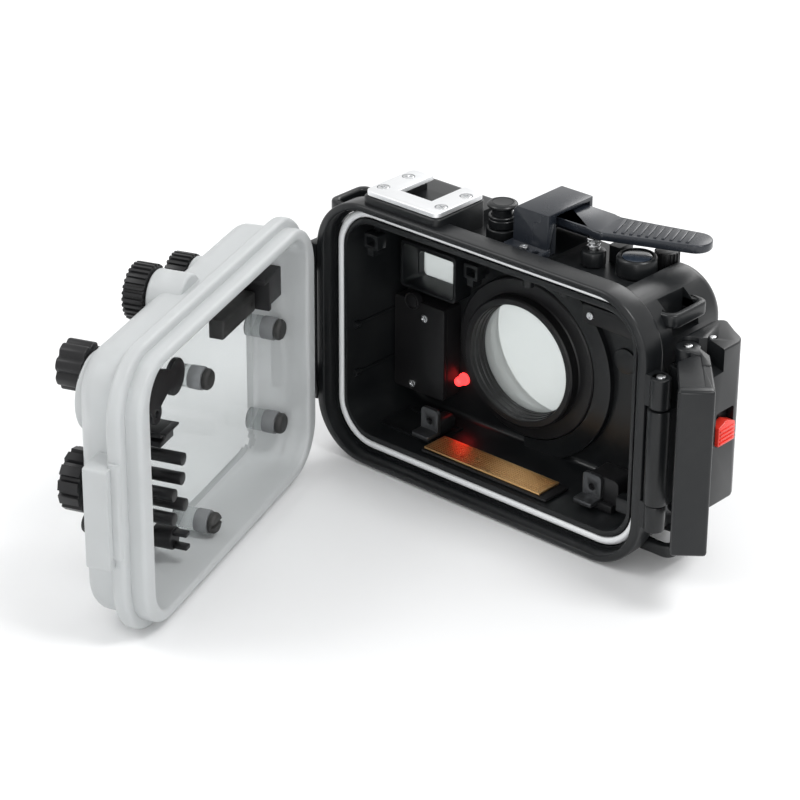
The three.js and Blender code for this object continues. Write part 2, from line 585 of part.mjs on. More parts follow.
// Raised parts on the inside walls: window surround, ring plate, ribs, clips and posts
function wallDetails() {
  const wall = cavity.depth;
  const surround = cut(
    prismY(roundedShape(flash.frameLeft, flash.frameRight, flash.frameBottom, flash.frameTop,
      flash.radius), wall - flash.frameHeight, wall + overrun),
    prismY(roundedShape(flash.frameLeft + flash.frameWall, flash.frameRight - flash.frameWall,
      flash.frameBottom + flash.frameWall, flash.frameTop - flash.frameWall, flash.radius),
    wall - flash.frameHeight - overrun, wall + 2 * overrun),
    rodY(lens.x, lens.z, wall - flash.frameHeight - overrun, wall, collar.flange + seatGap, wideSides),
  );
  const ringPlate = cut(
    rodY(lens.x, lens.z, wall - lens.plateHeight, wall + overrun, lens.plateRadius, wideSides),
    rodY(lens.x, lens.z, wall - lens.plateHeight - overrun, wall + 2 * overrun,
      collar.flange + seatGap, wideSides),
    slab(lens.x - 2 * lens.plateRadius, lens.x, wall - lens.plateHeight - overrun,
      wall + 2 * overrun, lens.z - 2 * lens.plateRadius, lens.z + 2 * lens.plateRadius),
  );
  const side = -cavity.halfWidth;
  const rib = (z) => join(
    slab(side - overrun, side + wallRib.height, wallRib.rear, wall + overrun,
      z - wallRib.thickness / 2, z + wallRib.thickness / 2),
    rodY(side, z, wallRib.rear - wallRib.screwRadius, wallRib.rear + wallRib.screwRadius,
      wallRib.screwRadius, smallSides),
  );
  const cableClip = (x, y, z, stemEnd, stemTop) => join(
    cut(
      slab(x - clip.width / 2, x + clip.width / 2, y, y + clip.depth, z, z + clip.height),
      slab(x - clip.width / 2 + clip.wall, x + clip.width / 2 - clip.wall, y - overrun,
        y + clip.depth - clip.wall, z + clip.wall, z + clip.height - clip.wall),
    ),
    slab(x - clip.tongue / 2, x + clip.tongue / 2, y, y + clip.depth, z - clip.tongue,
      z + clip.wall / 2),
    slab(x - clip.tongue / 2, x + clip.tongue / 2, y + clip.depth - clip.wall, stemEnd, z, stemTop),
  );
  const sideClip = slab(
    cavity.halfWidth - clip.width, cavity.halfWidth + overrun, clipPlaces.sideY,
    clipPlaces.sideY + clip.depth, clipPlaces.sideZ, clipPlaces.sideZ + clip.height,
  );
  const post = (x, y) =>
    rodZ(x, y, ceilingPost.bottom, cavity.halfHeight + overrun, ceilingPost.radius, smallSides);
  const armMiddle = (innerArm.bottom + innerArm.top) / 2;
  const armRear = innerArm.rear + innerArm.sheet + seatGap;
  const floorTop = -cavity.halfHeight + floorFrame.height;
  const frame = cut(
    slab(floorFrame.left, floorFrame.right, floorFrame.rear, floorFrame.front,
      -cavity.halfHeight - overrun, floorTop),
    slab(floorFrame.left + floorFrame.width, floorFrame.right - floorFrame.width,
      floorFrame.rear + floorFrame.width, floorFrame.front - floorFrame.width,
      -cavity.halfHeight - 2 * overrun, floorTop + overrun),
  );
  return [
    surround,
    overlapOf(ringPlate, roundedBlock(cavity.halfWidth + overrun, cavity.halfHeight + overrun,
      cavity.radius, 0, wall + overrun)),
    rib(wallRib.upperZ),
    rib(wallRib.lowerZ),
    cableClip(clipPlaces.hungX, clipPlaces.hungY, clipPlaces.hungZ, clipPlaces.hungY + clip.depth,
      cavity.halfHeight + overrun),
    cableClip(clipPlaces.wallX, clipPlaces.wallY, clipPlaces.wallZ, wall + overrun,
      clipPlaces.wallZ + clip.height),
    sideClip,
    post(ceilingPost.firstX, ceilingPost.firstY),
    post(ceilingPost.secondX, ceilingPost.secondY),
    rodY(innerArm.screwX, armMiddle, armRear, wall + overrun, innerBoss.radius, smallSides),
    rodY(innerBoss.discX, innerBoss.discZ, wall - innerBoss.discHeight, wall + overrun,
      innerBoss.discRadius),
    frame,
  ];
}

function shoeScrewPlaces() {
  const columns = [shoe.left + shoe.screwInset, shoe.right - shoe.screwInset];
  const rows = [shoe.rear + shoe.screwRear, shoe.rear + shoe.screwFront];
  return columns.flatMap((x) => rows.map((y) => [x, y]));
}

add(body, "front_body", frontBody(), blackMoulding);

// Seal lying in its groove round the recess
function sealRing() {
  const radius = seal.width / 2;
  const middle = lip.depth + seal.groove - radius - flushGap;
  return sewn(Array.from({ length: seal.sides }, (_, step) => {
    const angle = (step / seal.sides) * 2 * Math.PI;
    const out = radius * Math.cos(angle);
    const round = lip.radius - seal.inset + out;
    return roundedLoop({
      y: middle + radius * Math.sin(angle),
      halfWidth: rim.halfWidth - lip.side - seal.inset + out,
      halfHeight: rim.halfHeight - lip.flat - seal.inset + out,
      radii: [round, round, round, round],
    });
  }), true);
}

add(body, "body_seal", sealRing(), whiteRubber);

// Lens port: collar inside, glass in the wall, seal and screwed port outside
function lensPort() {
  const wall = cavity.depth;
  const glassRear = wall + seatGap;
  const glassFront = glassRear + lens.glassDepth;
  const seatY = bodyFront - lens.seatDepth;
  const rear = wall - seatGap - collar.length;
  const flangeFront = wall - seatGap;
  add(body, "lens_collar", turnedY(lens.x, lens.z, [
    [collar.throat, flangeFront],
    [collar.mouth, rear],
    [collar.tube, rear],
    [collar.tube, flangeFront - collar.flangeDepth],
    [collar.flange, flangeFront - collar.flangeDepth],
    [collar.flange, flangeFront],
  ]), blackPlastic);
  add(body, "port_glass", rodY(lens.x, lens.z, glassRear, glassFront, lens.glassRadius, wideSides), glass);
  const sealRear = seatY + seatGap;
  add(body, "port_seal", turnedY(lens.x, lens.z, [
    [lens.wallBore + port.sealWidth, sealRear],
    [lens.seatBore - seatGap, sealRear],
    [lens.seatBore - seatGap, sealRear + port.sealWidth / 2],
    [lens.wallBore + port.sealWidth, sealRear + port.sealWidth / 2],
  ]), blackRubber);
  const spigotRear = sealRear + port.sealWidth / 2 + seatGap;
  const flange = bodyFront + lens.bossHeight + seatGap;
  const front = flange + port.height;
  add(body, "front_port", turnedY(lens.x, lens.z, [
    [port.mouth, spigotRear],
    [port.spigot, spigotRear],
    [port.spigot, flange],
    [port.outer, flange],
    [port.outer, front - port.edge],
    [port.outer - port.edge, front],
    [port.thread, front],
    [port.thread, front - port.threadDepth],
    [port.cone, front - port.threadDepth],
    [port.mouth, spigotRear + overrun],
  ]), blackPlastic);
}

lensPort();

add(body, "flash_window", prismY(
  roundedShape(
    flash.left - flash.rebate + seatGap, flash.right + flash.rebate - seatGap,
    flash.bottom - flash.rebate + seatGap, flash.top + flash.rebate - seatGap, flash.radius,
  ),
  bodyFront - flash.pane, bodyFront,
), clearPlastic);

add(body, "tripod_insert", turnedZ(lens.x, insert.y, [
  [insert.bore, floorZ + flushGap],
  [insert.radius, floorZ + flushGap],
  [insert.radius, floorZ + insert.depth],
  [insert.bore, floorZ + insert.depth],
]), steel);

// Leak alarm: battery box with its lid, lamp, and the sensor on the floor
function leakAlarm() {
  const front = cavity.depth - seatGap;
  const boxRear = front - battery.depth;
  const lidRear = boxRear - seatGap - battery.lid;
  const plan = () => roundedShape(battery.left, battery.right, battery.bottom, battery.top, battery.radius);
  add(body, "battery_box", prismY(plan(), boxRear, front), blackPlastic);
  const screw = (x, z) => rodY(x, z, lidRear - battery.screwHeight, lidRear + overrun / 2,
    battery.screwRadius, smallSides);
  add(body, "battery_lid", join(
    prismY(plan(), lidRear, lidRear + battery.lid),
    rodY(battery.capX, battery.top, lidRear - battery.capHeight, lidRear + battery.lid, battery.capRadius),
    screw(battery.capX + battery.screwInset, battery.top - battery.screwInset),
    screw(battery.capX, battery.bottom + battery.screwInset / 2),
  ), blackPlastic);
  add(body, "leak_lamp", join(
    rodY(led.x, led.z, front - led.length, front, led.radius, smallSides),
    rodY(led.x, led.z, front - led.flangeHeight, front, led.flange, smallSides),
  ), redPlastic);
  const floor = -cavity.halfHeight + seatGap;
  add(body, "sensor_board", slab(
    sensor.left - sensor.boardMargin / 2, sensor.right + sensor.boardTail,
    sensor.rear - sensor.boardMargin, sensor.front + sensor.boardMargin,
    floor, floor + sensor.board,
  ), blackPlastic);
  const plateBottom = floor + sensor.board + seatGap;
  add(body, "sensor_plate", slab(
    sensor.left + seatGap, sensor.right, sensor.rear, sensor.front, plateBottom,
    plateBottom + sensor.plate,
  ), copper);
}

leakAlarm();

// Camera rests: a bent sheet with a foot and a holed tab, on a rounded block
function cameraRest(name, x, width, height, shift) {
  const floor = -cavity.halfHeight + seatGap;
  const half = rest.width / 2;
  const sheetBottom = floor + rest.lift;
  const tabFront = rest.tabRear + rest.sheet;
  const foot = slab(x - half, x + half, rest.tabRear - rest.footLength, tabFront,
    sheetBottom, sheetBottom + rest.sheet);
  const tab = cut(
    prismY(roundedShape(x - half, x + half, sheetBottom - rest.corner * 2,
      sheetBottom + rest.tabHeight, rest.corner), rest.tabRear, tabFront),
    slab(x - rest.width, x + rest.width, rest.tabRear - overrun, tabFront + overrun,
      floor - rest.tabHeight, sheetBottom),
    rodY(x, sheetBottom + rest.tabHeight / 2, rest.tabRear - overrun, tabFront + overrun, rest.hole,
      smallSides),
  );
  const blockMiddle = x + shift;
  const support = prismY(roundedShape(blockMiddle - width / 2, blockMiddle + width / 2, floor,
    floor + height, rest.blockRadius), tabFront - seatGap, tabFront + rest.blockDepth);
  const step = slab(blockMiddle - width / 2 + rest.corner / 2, blockMiddle + width / 2 - rest.corner / 2,
    rest.tabRear - rest.step, tabFront, floor, sheetBottom + rest.sheet / 2);
  add(body, name, join(foot, tab, support, step), blackPlastic);
}

cameraRest("camera_rest_left", rest.leftX, restBlocks.leftWidth, restBlocks.leftHeight,
  restBlocks.leftShift);
cameraRest("camera_rest_right", rest.rightX, restBlocks.rightWidth, restBlocks.rightHeight,
  restBlocks.rightShift);

add(body, "inner_arm", join(
  slab(innerArm.left, innerArm.right, innerArm.rear, innerArm.rear + innerArm.sheet,
    innerArm.bottom, innerArm.top),
  rodY(innerArm.screwX, (innerArm.bottom + innerArm.top) / 2, innerArm.rear - innerArm.sheet / 2,
    innerArm.rear + overrun, wallRib.screwRadius, smallSides),
), blackPlastic);

// Accessory shoe: a steel plate with an open notch, held by four screws
function shoePlate() {
  const bottom = shoe.top - shoe.plate;
  const plate = prismZ(
    roundedShape(shoe.left + shoe.plateInset, shoe.right - shoe.plateInset,
      shoe.rear + shoe.plateInset, shoe.front, shoe.radius),
    bottom, shoe.top,
  );
  const notch = slab(shoe.notchLeft, shoe.notchRight, shoe.notchRear, shoe.front + overrun,
    bottom - overrun, shoe.top + overrun);
  const holes = shoeScrewPlaces().flatMap(([x, y]) => [
    rodZ(x, y, bottom - overrun, shoe.top + overrun, shoe.screwShank + seatGap, smallSides),
    rodZ(x, y, shoe.top - shoe.screwHead, shoe.top + overrun, shoe.screwRadius + seatGap, smallSides),
  ]);
  add(body, "shoe_plate", cut(plate, notch, ...holes), steel);
  shoeScrewPlaces().forEach(([x, y], i) => {
    add(body, `shoe_screw_${i + 1}`, join(
      rodZ(x, y, shoe.top - shoe.screwHead + flushGap, shoe.top, shoe.screwRadius, smallSides),
      rodZ(x, y, bottom - shoe.screwLength, shoe.top - shoe.screwHead / 2, shoe.screwShank, smallSides),
    ), steel);
  });
}

shoePlate();

// Push button on the top, its shaft down through the wall
function topButton() {
  const glandTop = button.glandBottom + button.glandHeight;
  add(body, "button_gland", turnedZ(button.x, button.y, [
    [button.stem + shaftGap, button.glandBottom],
    [button.gland, button.glandBottom],
    [button.gland, glandTop],
    [button.stem + shaftGap, glandTop],
  ]), blackPlastic);
  const capBottom = glandTop + button.travel + seatGap;
  add(body, "top_button", join(
    rodZ(button.x, button.y, capBottom, capBottom + button.capHeight, button.cap),
    rodZ(button.x, button.y, capBottom - button.travel - button.foot, capBottom + overrun, button.stem),
    rodZ(button.x, button.y, button.tip, capBottom, button.shaft, smallSides),
  ), blackPlastic);
}

topButton();

// Shutter bracket over the lever's pivot
function shutterBracket() {
  const inner = { rear: bracket.rear + bracket.rearWall, front: bracket.front - bracket.wall };
  const side = [
    [bracket.left, bracket.bottom],
    [bracket.left, bracket.top - bracket.edge],
    [bracket.left + bracket.edge, bracket.top],
    [bracket.right, bracket.top],
    [bracket.right, bracket.bottom],
  ].reverse();
  const channel = slab(
    bracket.left + bracket.wall, bracket.right + overrun, inner.rear, inner.front,
    bracket.bottom - overrun, bracket.top - bracket.roof,
  );
  const footTop = bracket.bottom + bracket.footHeight;
  const footMiddle = (bracket.footRear + bracket.rear) / 2;
  const screwShank = bracket.screwRadius * screwShankShare;
  const foot = slab(bracket.footLeft, bracket.footRight, bracket.footRear, bracket.rear + overrun,
    bracket.bottom, footTop);
  add(body, "shutter_bracket", cut(
    join(prismY(polygon(side), bracket.rear, bracket.front), foot),
    channel,
    rodY(lever.pivotX, lever.pivotZ, bracket.rear + bracket.wall, bracket.front + overrun,
      lever.pin + seatGap, smallSides),
    rodZ(bracket.screwX, footMiddle, bracket.bottom - overrun, footTop + overrun,
      screwShank + seatGap, smallSides),
    rodZ(bracket.holeX, footMiddle, bracket.bottom - overrun, footTop + overrun,
      screwShank, smallSides),
  ), blackMoulding);
  add(body, "bracket_screw", join(
    rodZ(bracket.screwX, footMiddle, footTop + flushGap, footTop + screwShank,
      bracket.screwRadius, smallSides),
    rodZ(bracket.screwX, footMiddle, bracket.bottom, footTop + screwShank / 2, screwShank, smallSides),
  ), steel);
  add(body, "lever_pin", rodY(lever.pivotX, lever.pivotZ, bracket.rear + bracket.wall + seatGap,
    bracket.front, lever.pin, smallSides), steel);
}

shutterBracket();

// Shutter lever: a neck in the bracket, then a ribbed pad turned towards the front
function shutterLever() {
  const padBottom = lever.padTop - lever.thickness;
  const neckBottom = lever.top - lever.thickness;
  const neckEnd = lever.bendX + lever.thickness;
  const side = [
    [lever.tail, neckBottom],
    [lever.bendX - lever.thickness, neckBottom],
    [lever.bendX, padBottom],
    [neckEnd, padBottom],
    [neckEnd, lever.padTop],
    [lever.bendX, lever.padTop],
    [lever.bendX - lever.thickness, lever.top],
    [lever.tail, lever.top],
  ];
  const neck = prismY(polygon(side), lever.rear, lever.front);
  const half = lever.padWidth / 2;
  const tipHalf = lever.tipWidth / 2;
  const tipStart = lever.padLength - lever.tipRadius;
  const plan = new THREE.Shape();
  plan.moveTo(0, -half);
  plan.lineTo(tipStart, -tipHalf);
  plan.absarc(tipStart, lever.tipRadius - tipHalf, lever.tipRadius, -Math.PI / 2, 0);
  plan.absarc(tipStart, tipHalf - lever.tipRadius, lever.tipRadius, 0, Math.PI / 2);
  plan.lineTo(0, half);
  const ribs = Array.from({ length: lever.ribs }, (_, i) => {
    const start = lever.ribStart + i * lever.ribPitch;
    const reach = half + ((tipHalf - half) * start) / tipStart - lever.ribMargin;
    return slab(start, start + lever.ribWidth, -reach, reach,
      lever.padTop - lever.ribHeight, lever.padTop + lever.ribHeight);
  });
  const angle = (lever.padDegrees * Math.PI) / 180;
  const padSolid = join(prismZ(plan, padBottom, lever.padTop), ...ribs)
    .rotateZ(angle)
    .translate(lever.bendX, (lever.rear + lever.front) / 2, 0);
  const barrel = rodY(lever.pivotX, lever.pivotZ, lever.rear, lever.front, lever.barrel, roundSides);
  const wholeLever = join(neck, barrel, padSolid);
  const bore = rodY(lever.pivotX, lever.pivotZ, lever.rear - overrun, lever.front + overrun,
    lever.pin + shaftGap, smallSides);
  add(body, "shutter_lever", cut(wholeLever, bore), blackMoulding);
}

shutterLever();

// Shutter plunger, guided by a gland and lifted by a coil spring
const plungerTop = lever.padTop - lever.thickness - seatGap;

add(body, "shutter_gland", turnedZ(plunger.x, plunger.y, [
  [plunger.shaft + shaftGap, plunger.glandBottom],
  [plunger.gland - seatGap, plunger.glandBottom],
  [plunger.gland - seatGap, plunger.glandTop],
  [plunger.shaft + shaftGap, plunger.glandTop],
]), blackPlastic);

add(body, "shutter_plunger", join(
  rodZ(plunger.x, plunger.y, plunger.tip, plungerTop - plunger.capHeight / 2, plunger.shaft, smallSides),
  rodZ(plunger.x, plunger.y, plungerTop - plunger.capHeight, plungerTop, plunger.cap),
), blackPlastic);

function shutterSpring() {
  const bottom = plunger.glandTop + seatGap + spring.wire;
  const top = plungerTop - plunger.capHeight - seatGap - spring.wire;
  const pitch = (top - bottom) / spring.curls;
  const slope = Math.atan2(pitch, 2 * Math.PI * spring.radius);
  const count = spring.curls * spring.steps;
  const centres = [];
  const loops = Array.from({ length: count + 1 }, (_, i) => {
    const angle = (i / spring.steps) * 2 * Math.PI;
    const outward = new THREE.Vector3(Math.cos(angle), Math.sin(angle), 0);
    const along = new THREE.Vector3(-Math.sin(angle), Math.cos(angle), Math.tan(slope)).normalize();
    const across = new THREE.Vector3().crossVectors(along, outward);
    const centre = new THREE.Vector3(plunger.x, plunger.y, bottom + (i / spring.steps) * pitch)
      .addScaledVector(outward, spring.radius);
    centres.push(centre);
    return Array.from({ length: spring.sides }, (_, k) => {
      const turn = (-k / spring.sides) * 2 * Math.PI;
      return centre.clone()
        .addScaledVector(outward, spring.wire * Math.cos(turn))
        .addScaledVector(across, spring.wire * Math.sin(turn));
    });
  });
  let least = Infinity;
  centres.forEach((a, i) => centres.slice(i + spring.steps - 1).forEach((b) => {
    least = Math.min(least, a.distanceTo(b) - 2 * spring.wire);
  }));
  console.log(`shutter spring: least gap to itself ${least.toFixed(2)} mm`);
  return sewn(loops);
}

add(body, "shutter_spring", shutterSpring(), steel);

// Mode knob and knurled zoom dial beside it
add(body, "mode_knob", join(
  cut(
    turnedZ(knob.x, knob.y, [
      [0, knob.bottom],
      [knob.radius, knob.bottom],
      [knob.radius, knob.top - knob.bevel],
      [knob.radius - knob.bevel, knob.top],
      [0, knob.top],
    ]),
    rodZ(knob.x, knob.y, knob.top - knob.dishDepth, knob.top + overrun, knob.dish),
  ),
  rodZ(knob.x, knob.y, knob.tip, knob.bottom + overrun, knob.shaft, smallSides),
), blackPlastic);

add(body, "zoom_dial", join(
  prismZ(toothedShape(dial.x, dial.y, dial.radius, dial.tooth, dial.teeth), dial.bottom, dial.top),
  rodZ(dial.x, dial.y, dial.tip, dial.bottom + overrun, dial.shaft, smallSides),
), blackPlastic);

// Hinge bracket on the body's left side, with its pin
function hingeBracket() {
  const side = -rim.halfWidth - seatGap;
  const knuckle = (z0, z1) => join(
    rodZ(hinge.x, hinge.y, z0, z1, hinge.radius),
    slab(hinge.x - hinge.plate / 2, hinge.x + hinge.plate / 2, hinge.y, hinge.plateRear + overrun, z0, z1),
  );
  return cut(
    join(
      slab(side - hinge.plate - overrun, side, hinge.plateRear, hinge.plateFront, hinge.low, hinge.high),
      knuckle(hinge.low, hinge.lowTop),
      knuckle(hinge.highBottom, hinge.high),
    ),
    rodZ(hinge.x, hinge.y, hinge.low - overrun, hinge.high + overrun, hinge.pin + shaftGap, smallSides),
  );
}

add(body, "hinge_bracket", hingeBracket(), blackMoulding);
add(body, "hinge_pin", rodZ(hinge.x, hinge.y, hinge.low - hinge.pinOverhang,
  hinge.high + hinge.pinOverhang, hinge.pin, smallSides), steel);

// Latch lever: a sleeve on the body's pin and a block notched for the hook
add(body, "latch_pin", rodZ(latch.axisX, latch.axisY, latch.lowBottom, latch.highTop + latch.dot,
  latch.pin, smallSides), steel);

// A plan shape in the hook's own directions, turned about its pivot
function hookPlan(points, degrees) {
  const angle = (-degrees * Math.PI) / 180;
  const [c, s] = [Math.cos(angle), Math.sin(angle)];
  return polygon(points.map(([along, out]) => [
    hook.pivotX + along * c - out * s,
    hook.pivotY + along * s + out * c,
  ]));
}

function latchLever() {
  const plan = new THREE.Shape();
  plan.absarc(block.inner + block.radius, block.rear + block.radius, block.radius, Math.PI,
    (Math.PI * 3) / 2);
  plan.absarc(block.outer - block.radius, block.rear + block.radius, block.radius,
    (Math.PI * 3) / 2, Math.PI * 2);
  plan.lineTo(block.outer, block.sideFront);
  plan.quadraticCurveTo(block.outer, block.bendY, block.bendX, block.bendY);
  plan.lineTo(block.noseX, block.front);
  plan.lineTo(block.inner, block.front - block.radius);
  const main = prismZ(plan, block.bottom, block.top, block.bevel);
  const web = slab(block.webInner, block.webOuter, latch.axisY, block.rear + overrun,
    latch.sleeveBottom, latch.sleeveTop);
  const sleeve = rodZ(latch.axisX, latch.axisY, latch.sleeveBottom, latch.sleeveTop, latch.barrel);
  const edge = hook.outside + hook.clear;
  const swing = () => hookPlan([
    [0, edge],
    [hook.length, edge],
    [hook.length, -hook.length],
    [-hook.lobe, -hook.length],
    [-hook.lobe, -hook.lobe],
  ], hook.swingDegrees);
  const notch = (z0, z1) => join(
    rodZ(hook.pivotX, hook.pivotY, z0, z1, hook.lobe + hook.clear),
    prismZ(swing(), z0, z1),
  );
  const pocket = slab(block.outer - lock.depth, block.outer + overrun, lock.rear, lock.front,
    lock.bottom - seatGap, lock.top + lock.point + lock.travel + seatGap);
  return cut(
    join(main, web, sleeve),
    notch(hook.lobeTopBottom - hook.clear, block.top + overrun),
    pocket,
    rodZ(latch.axisX, latch.axisY, latch.sleeveBottom - overrun, latch.sleeveTop + overrun,
      latch.pin + shaftGap, smallSides),
    rodZ(hook.pivotX, hook.pivotY, block.bottom - overrun, block.top + overrun,
      hook.pin + shaftGap, smallSides),
    rodZ(lock.pinX, lock.pinY, block.top - lock.pinLength - seatGap, block.top + overrun,
      lock.pin + seatGap, smallSides),
  );
}

add(body, "latch_lever", latchLever(), blackMoulding);
add(body, "lock_pin", rodZ(lock.pinX, lock.pinY, block.top - lock.pinLength, block.top + latch.dot / 2,
  lock.pin, smallSides), steel);
add(body, "hook_pin", rodZ(hook.pivotX, hook.pivotY, hook.bottom, hook.top + latch.dot,
  hook.pin, smallSides), steel);

// Hook bar: lobes on the pin, two arms, a plate and the lip that catches the cover
function latchHook() {
  const lobe = (z0, z1) => rodZ(hook.pivotX, hook.pivotY, z0, z1, hook.lobe);
  const arm = () => hookPlan([
    [-hook.lobe / 2, hook.lobe / 2],
    [hook.lobe / 2, -hook.lobe / 2],
    [hook.plateStart / 2, hook.inside],
    [hook.plateStart + overrun, hook.inside],
    [hook.plateStart + overrun, hook.outside],
    [hook.plateStart / 2, hook.outside],
  ], hook.openDegrees);
  const plate = hookPlan([
    [hook.plateStart, hook.inside],
    [hook.length, hook.inside],
    [hook.length, hook.outside],
    [hook.plateStart, hook.outside],
  ], hook.openDegrees);
  const lip = hookPlan([
    [hook.length - hook.lipDepth, -hook.lip],
    [hook.length, -hook.lip],
    [hook.length, hook.outside],
    [hook.length - hook.lipDepth, hook.outside],
  ], hook.openDegrees);
  return cut(
    join(
      lobe(hook.lobeTopBottom, hook.top),
      lobe(hook.bottom, hook.lobeLowTop),
      prismZ(arm(), hook.lobeTopBottom, hook.top),
      prismZ(arm(), hook.bottom, hook.lobeLowTop),
      prismZ(plate, hook.bottom, hook.plateTop),
      prismZ(lip, hook.bottom, hook.lipTop),
    ),
    rodZ(hook.pivotX, hook.pivotY, hook.bottom - overrun, hook.top + overrun,
      hook.pin + shaftGap, smallSides),
  );
}

add(body, "latch_hook", latchHook(), blackMoulding);

// Red lock slide with a pointed top and finger ribs
function lockSlide() {
  const middle = (lock.rear + lock.front) / 2;
  const rear = lock.rear + seatGap;
  const front = lock.front - seatGap;
  const side = polygon([
    [rear, lock.bottom],
    [front, lock.bottom],
    [front, lock.top],
    [middle, lock.top + lock.point],
    [rear, lock.top],
  ]);
  const ribs = Array.from({ length: lock.ribs }, (_, i) => {
    const bottom = lock.bottom + lock.ribPitch * (i + 0.5);
    return slab(block.outer + lock.proud - overrun, block.outer + lock.proud + lock.ribHeight,
      rear + lock.ribHeight, front - lock.ribHeight, bottom, bottom + lock.ribPitch / 2);
  });
  return join(
    prismX(side, block.outer - lock.depth + seatGap, block.outer + lock.proud),
    ...ribs,
  );
}

add(body, "lock_slide", lockSlide(), redPlastic);

// Rear cover, drawn closed and then swung open about the hinge
function rearCover() {
  const front = -cover.faceGap;
  const flangeRear = front - cover.flangeDepth;
  const plugWide = lip.side + cover.plugInset;
  const plugTall = lip.flat + cover.plugInset;
  const tubWide = cover.tubInsetWide;
  const tubTall = cover.tubInsetTall;
  const round = cover.backRound;
  const coverSection = (y, inward) => ({
    y,
    wide: tubWide + inward,
    tall: tubTall + inward,
    radius: cover.radius - inward,
  });
  const plugSection = (y) => ({ y, wide: plugWide, tall: plugTall, radius: lip.radius - cover.plugInset });
  const innerWide = rim.halfWidth - tubWide - cover.wall;
  const innerTall = rim.halfHeight - tubTall - cover.wall;
  const shell = join(
    insetLoft([
      { y: flangeRear, inset: rim.edge },
      { y: flangeRear + rim.edge, inset: 0 },
      { y: front - rim.edge, inset: 0 },
      { y: front, inset: rim.edge },
    ]),
    insetLoft([
      plugSection(front - overrun),
      plugSection(lip.depth - cover.plugGap),
    ]),
    insetLoft([
      ...backShares.map(([forward, inward]) => coverSection(coverRear + round * forward, round * inward)),
      coverSection(flangeRear + rim.edge, 0),
    ]),
    rodY(cam.bossX, cam.bossZ, -cam.bossRear, panelFace - overrun, cam.boss, wideSides),
    ...wheel.x.map((x, i) => rodY(x, wheelZ[i], -wheel.bossRear, -wheel.bossFront, wheel.boss)),
    slab(catchPad.root, catchPad.outer, -catchPad.rear, -catchPad.step, catchPad.bottom, catchPad.top),
    slab(catchPad.root, catchPad.stepOuter, -catchPad.step - overrun, -catchPad.front,
      catchPad.stepBottom, catchPad.stepTop),
    slab(hinge.x, rimLeftRoot(), hinge.y - hinge.radius + overrun / 2, flangeRear + overrun,
      hinge.lowTop + cover.knuckleGap, hinge.highBottom - cover.knuckleGap),
    rodZ(hinge.x, hinge.y, hinge.lowTop + cover.knuckleGap, hinge.highBottom - cover.knuckleGap,
      hinge.radius),
  );
  const inside = cover.radius - cover.wall;
  const hollow = cut(
    shell,
    roundedBlock(innerWide, innerTall, inside, panelFace, lip.depth + overrun),
    rodZ(hinge.x, hinge.y, hinge.low, hinge.high, hinge.pin + shaftGap, smallSides),
    panelBore(cam.x, cam.z, cam.shaft),
    panelBore(jog.x, jog.z, jog.shaft),
    panelBore(fork.x, fork.z, fork.shaft),
    ...wheel.x.map((x, i) => rodY(x, wheelZ[i], -cam.rear, -wheel.pocketRear + overrun,
      wheel.shaft + shaftGap, smallSides)),
    ...wheel.x.map((x, i) =>
      rodY(x, wheelZ[i], -wheel.pocketRear, -wheel.bossFront - overrun, wheel.pocket)),
    ...pressX.map((x, i) => panelBore(x, pressPlaces.z[i], press.shaft)),
  );
  const posts = cushionX.map((x, i) =>
    rodY(x, cushionPlaces.z[i], panelFace - overrun, -cushionPlaces.postEnd[i], cushion.post));
  return join(hollow, ...posts);
}

const rimLeftRoot = () => -rim.halfWidth + cover.tubInsetWide + overrun / 2;

const panelBore = (x, z, radius) =>
  rodY(x, z, -cam.rear, panelFace + overrun, radius + shaftGap, smallSides);

add(coverGroup, "rear_cover", rearCover(), clearPlastic);

// Rubber cushions that hold the camera's back
cushionX.forEach((x, i) => {
  const z = cushionPlaces.z[i];
  const rear = -cushionPlaces.postEnd[i] + seatGap;
  const front = -cushionPlaces.end[i];
  const round = rodY(x, z, rear, front, cushion.radius);
  const slot = slab(x - cushion.post, x + cushion.post, front - cushion.slotDepth, front + overrun,
    z - cushion.slot / 2, z + cushion.slot / 2);
  add(coverGroup, `cushion_${i + 1}`, i === 3 ? cut(round, slot) : round, blackRubber);
});

const panelSeat = panelFace + seatGap;

add(coverGroup, "finger_bracket", prismY(polygon([
  [finger.left, finger.bottom],
  [finger.legLeft, finger.bottom],
  [finger.legLeft, finger.legBottom],
  [finger.right, finger.legBottom],
  [finger.right, finger.top - finger.wing],
  [finger.wingRight, finger.top - finger.wing],
  [finger.wingRight, finger.top],
  [finger.left, finger.top],
]), panelSeat, -finger.front), blackPlastic);

const railOutline = [
  [rail.left, rail.bottom],
  [rail.right, rail.bottom],
  [rail.right, rail.top],
  [rail.left, rail.top],
];

add(coverGroup, "rail_bar", prismY(polygon(railOutline), panelSeat, -rail.front, rail.bevel),
  blackRubber);

// Big lobed knob with the swing arm on its shaft
add(coverGroup, "cam_knob", join(
  prismY(toothedShape(cam.x, cam.z, cam.radius, cam.lobe, cam.lobes, cam.lobeShare), -cam.rear,
    -cam.front, cam.bevel / 2),
  rodY(cam.x, cam.z, -cam.front - overrun, -cam.inner + cam.plate, cam.shaft, smallSides),
), blackPlastic);

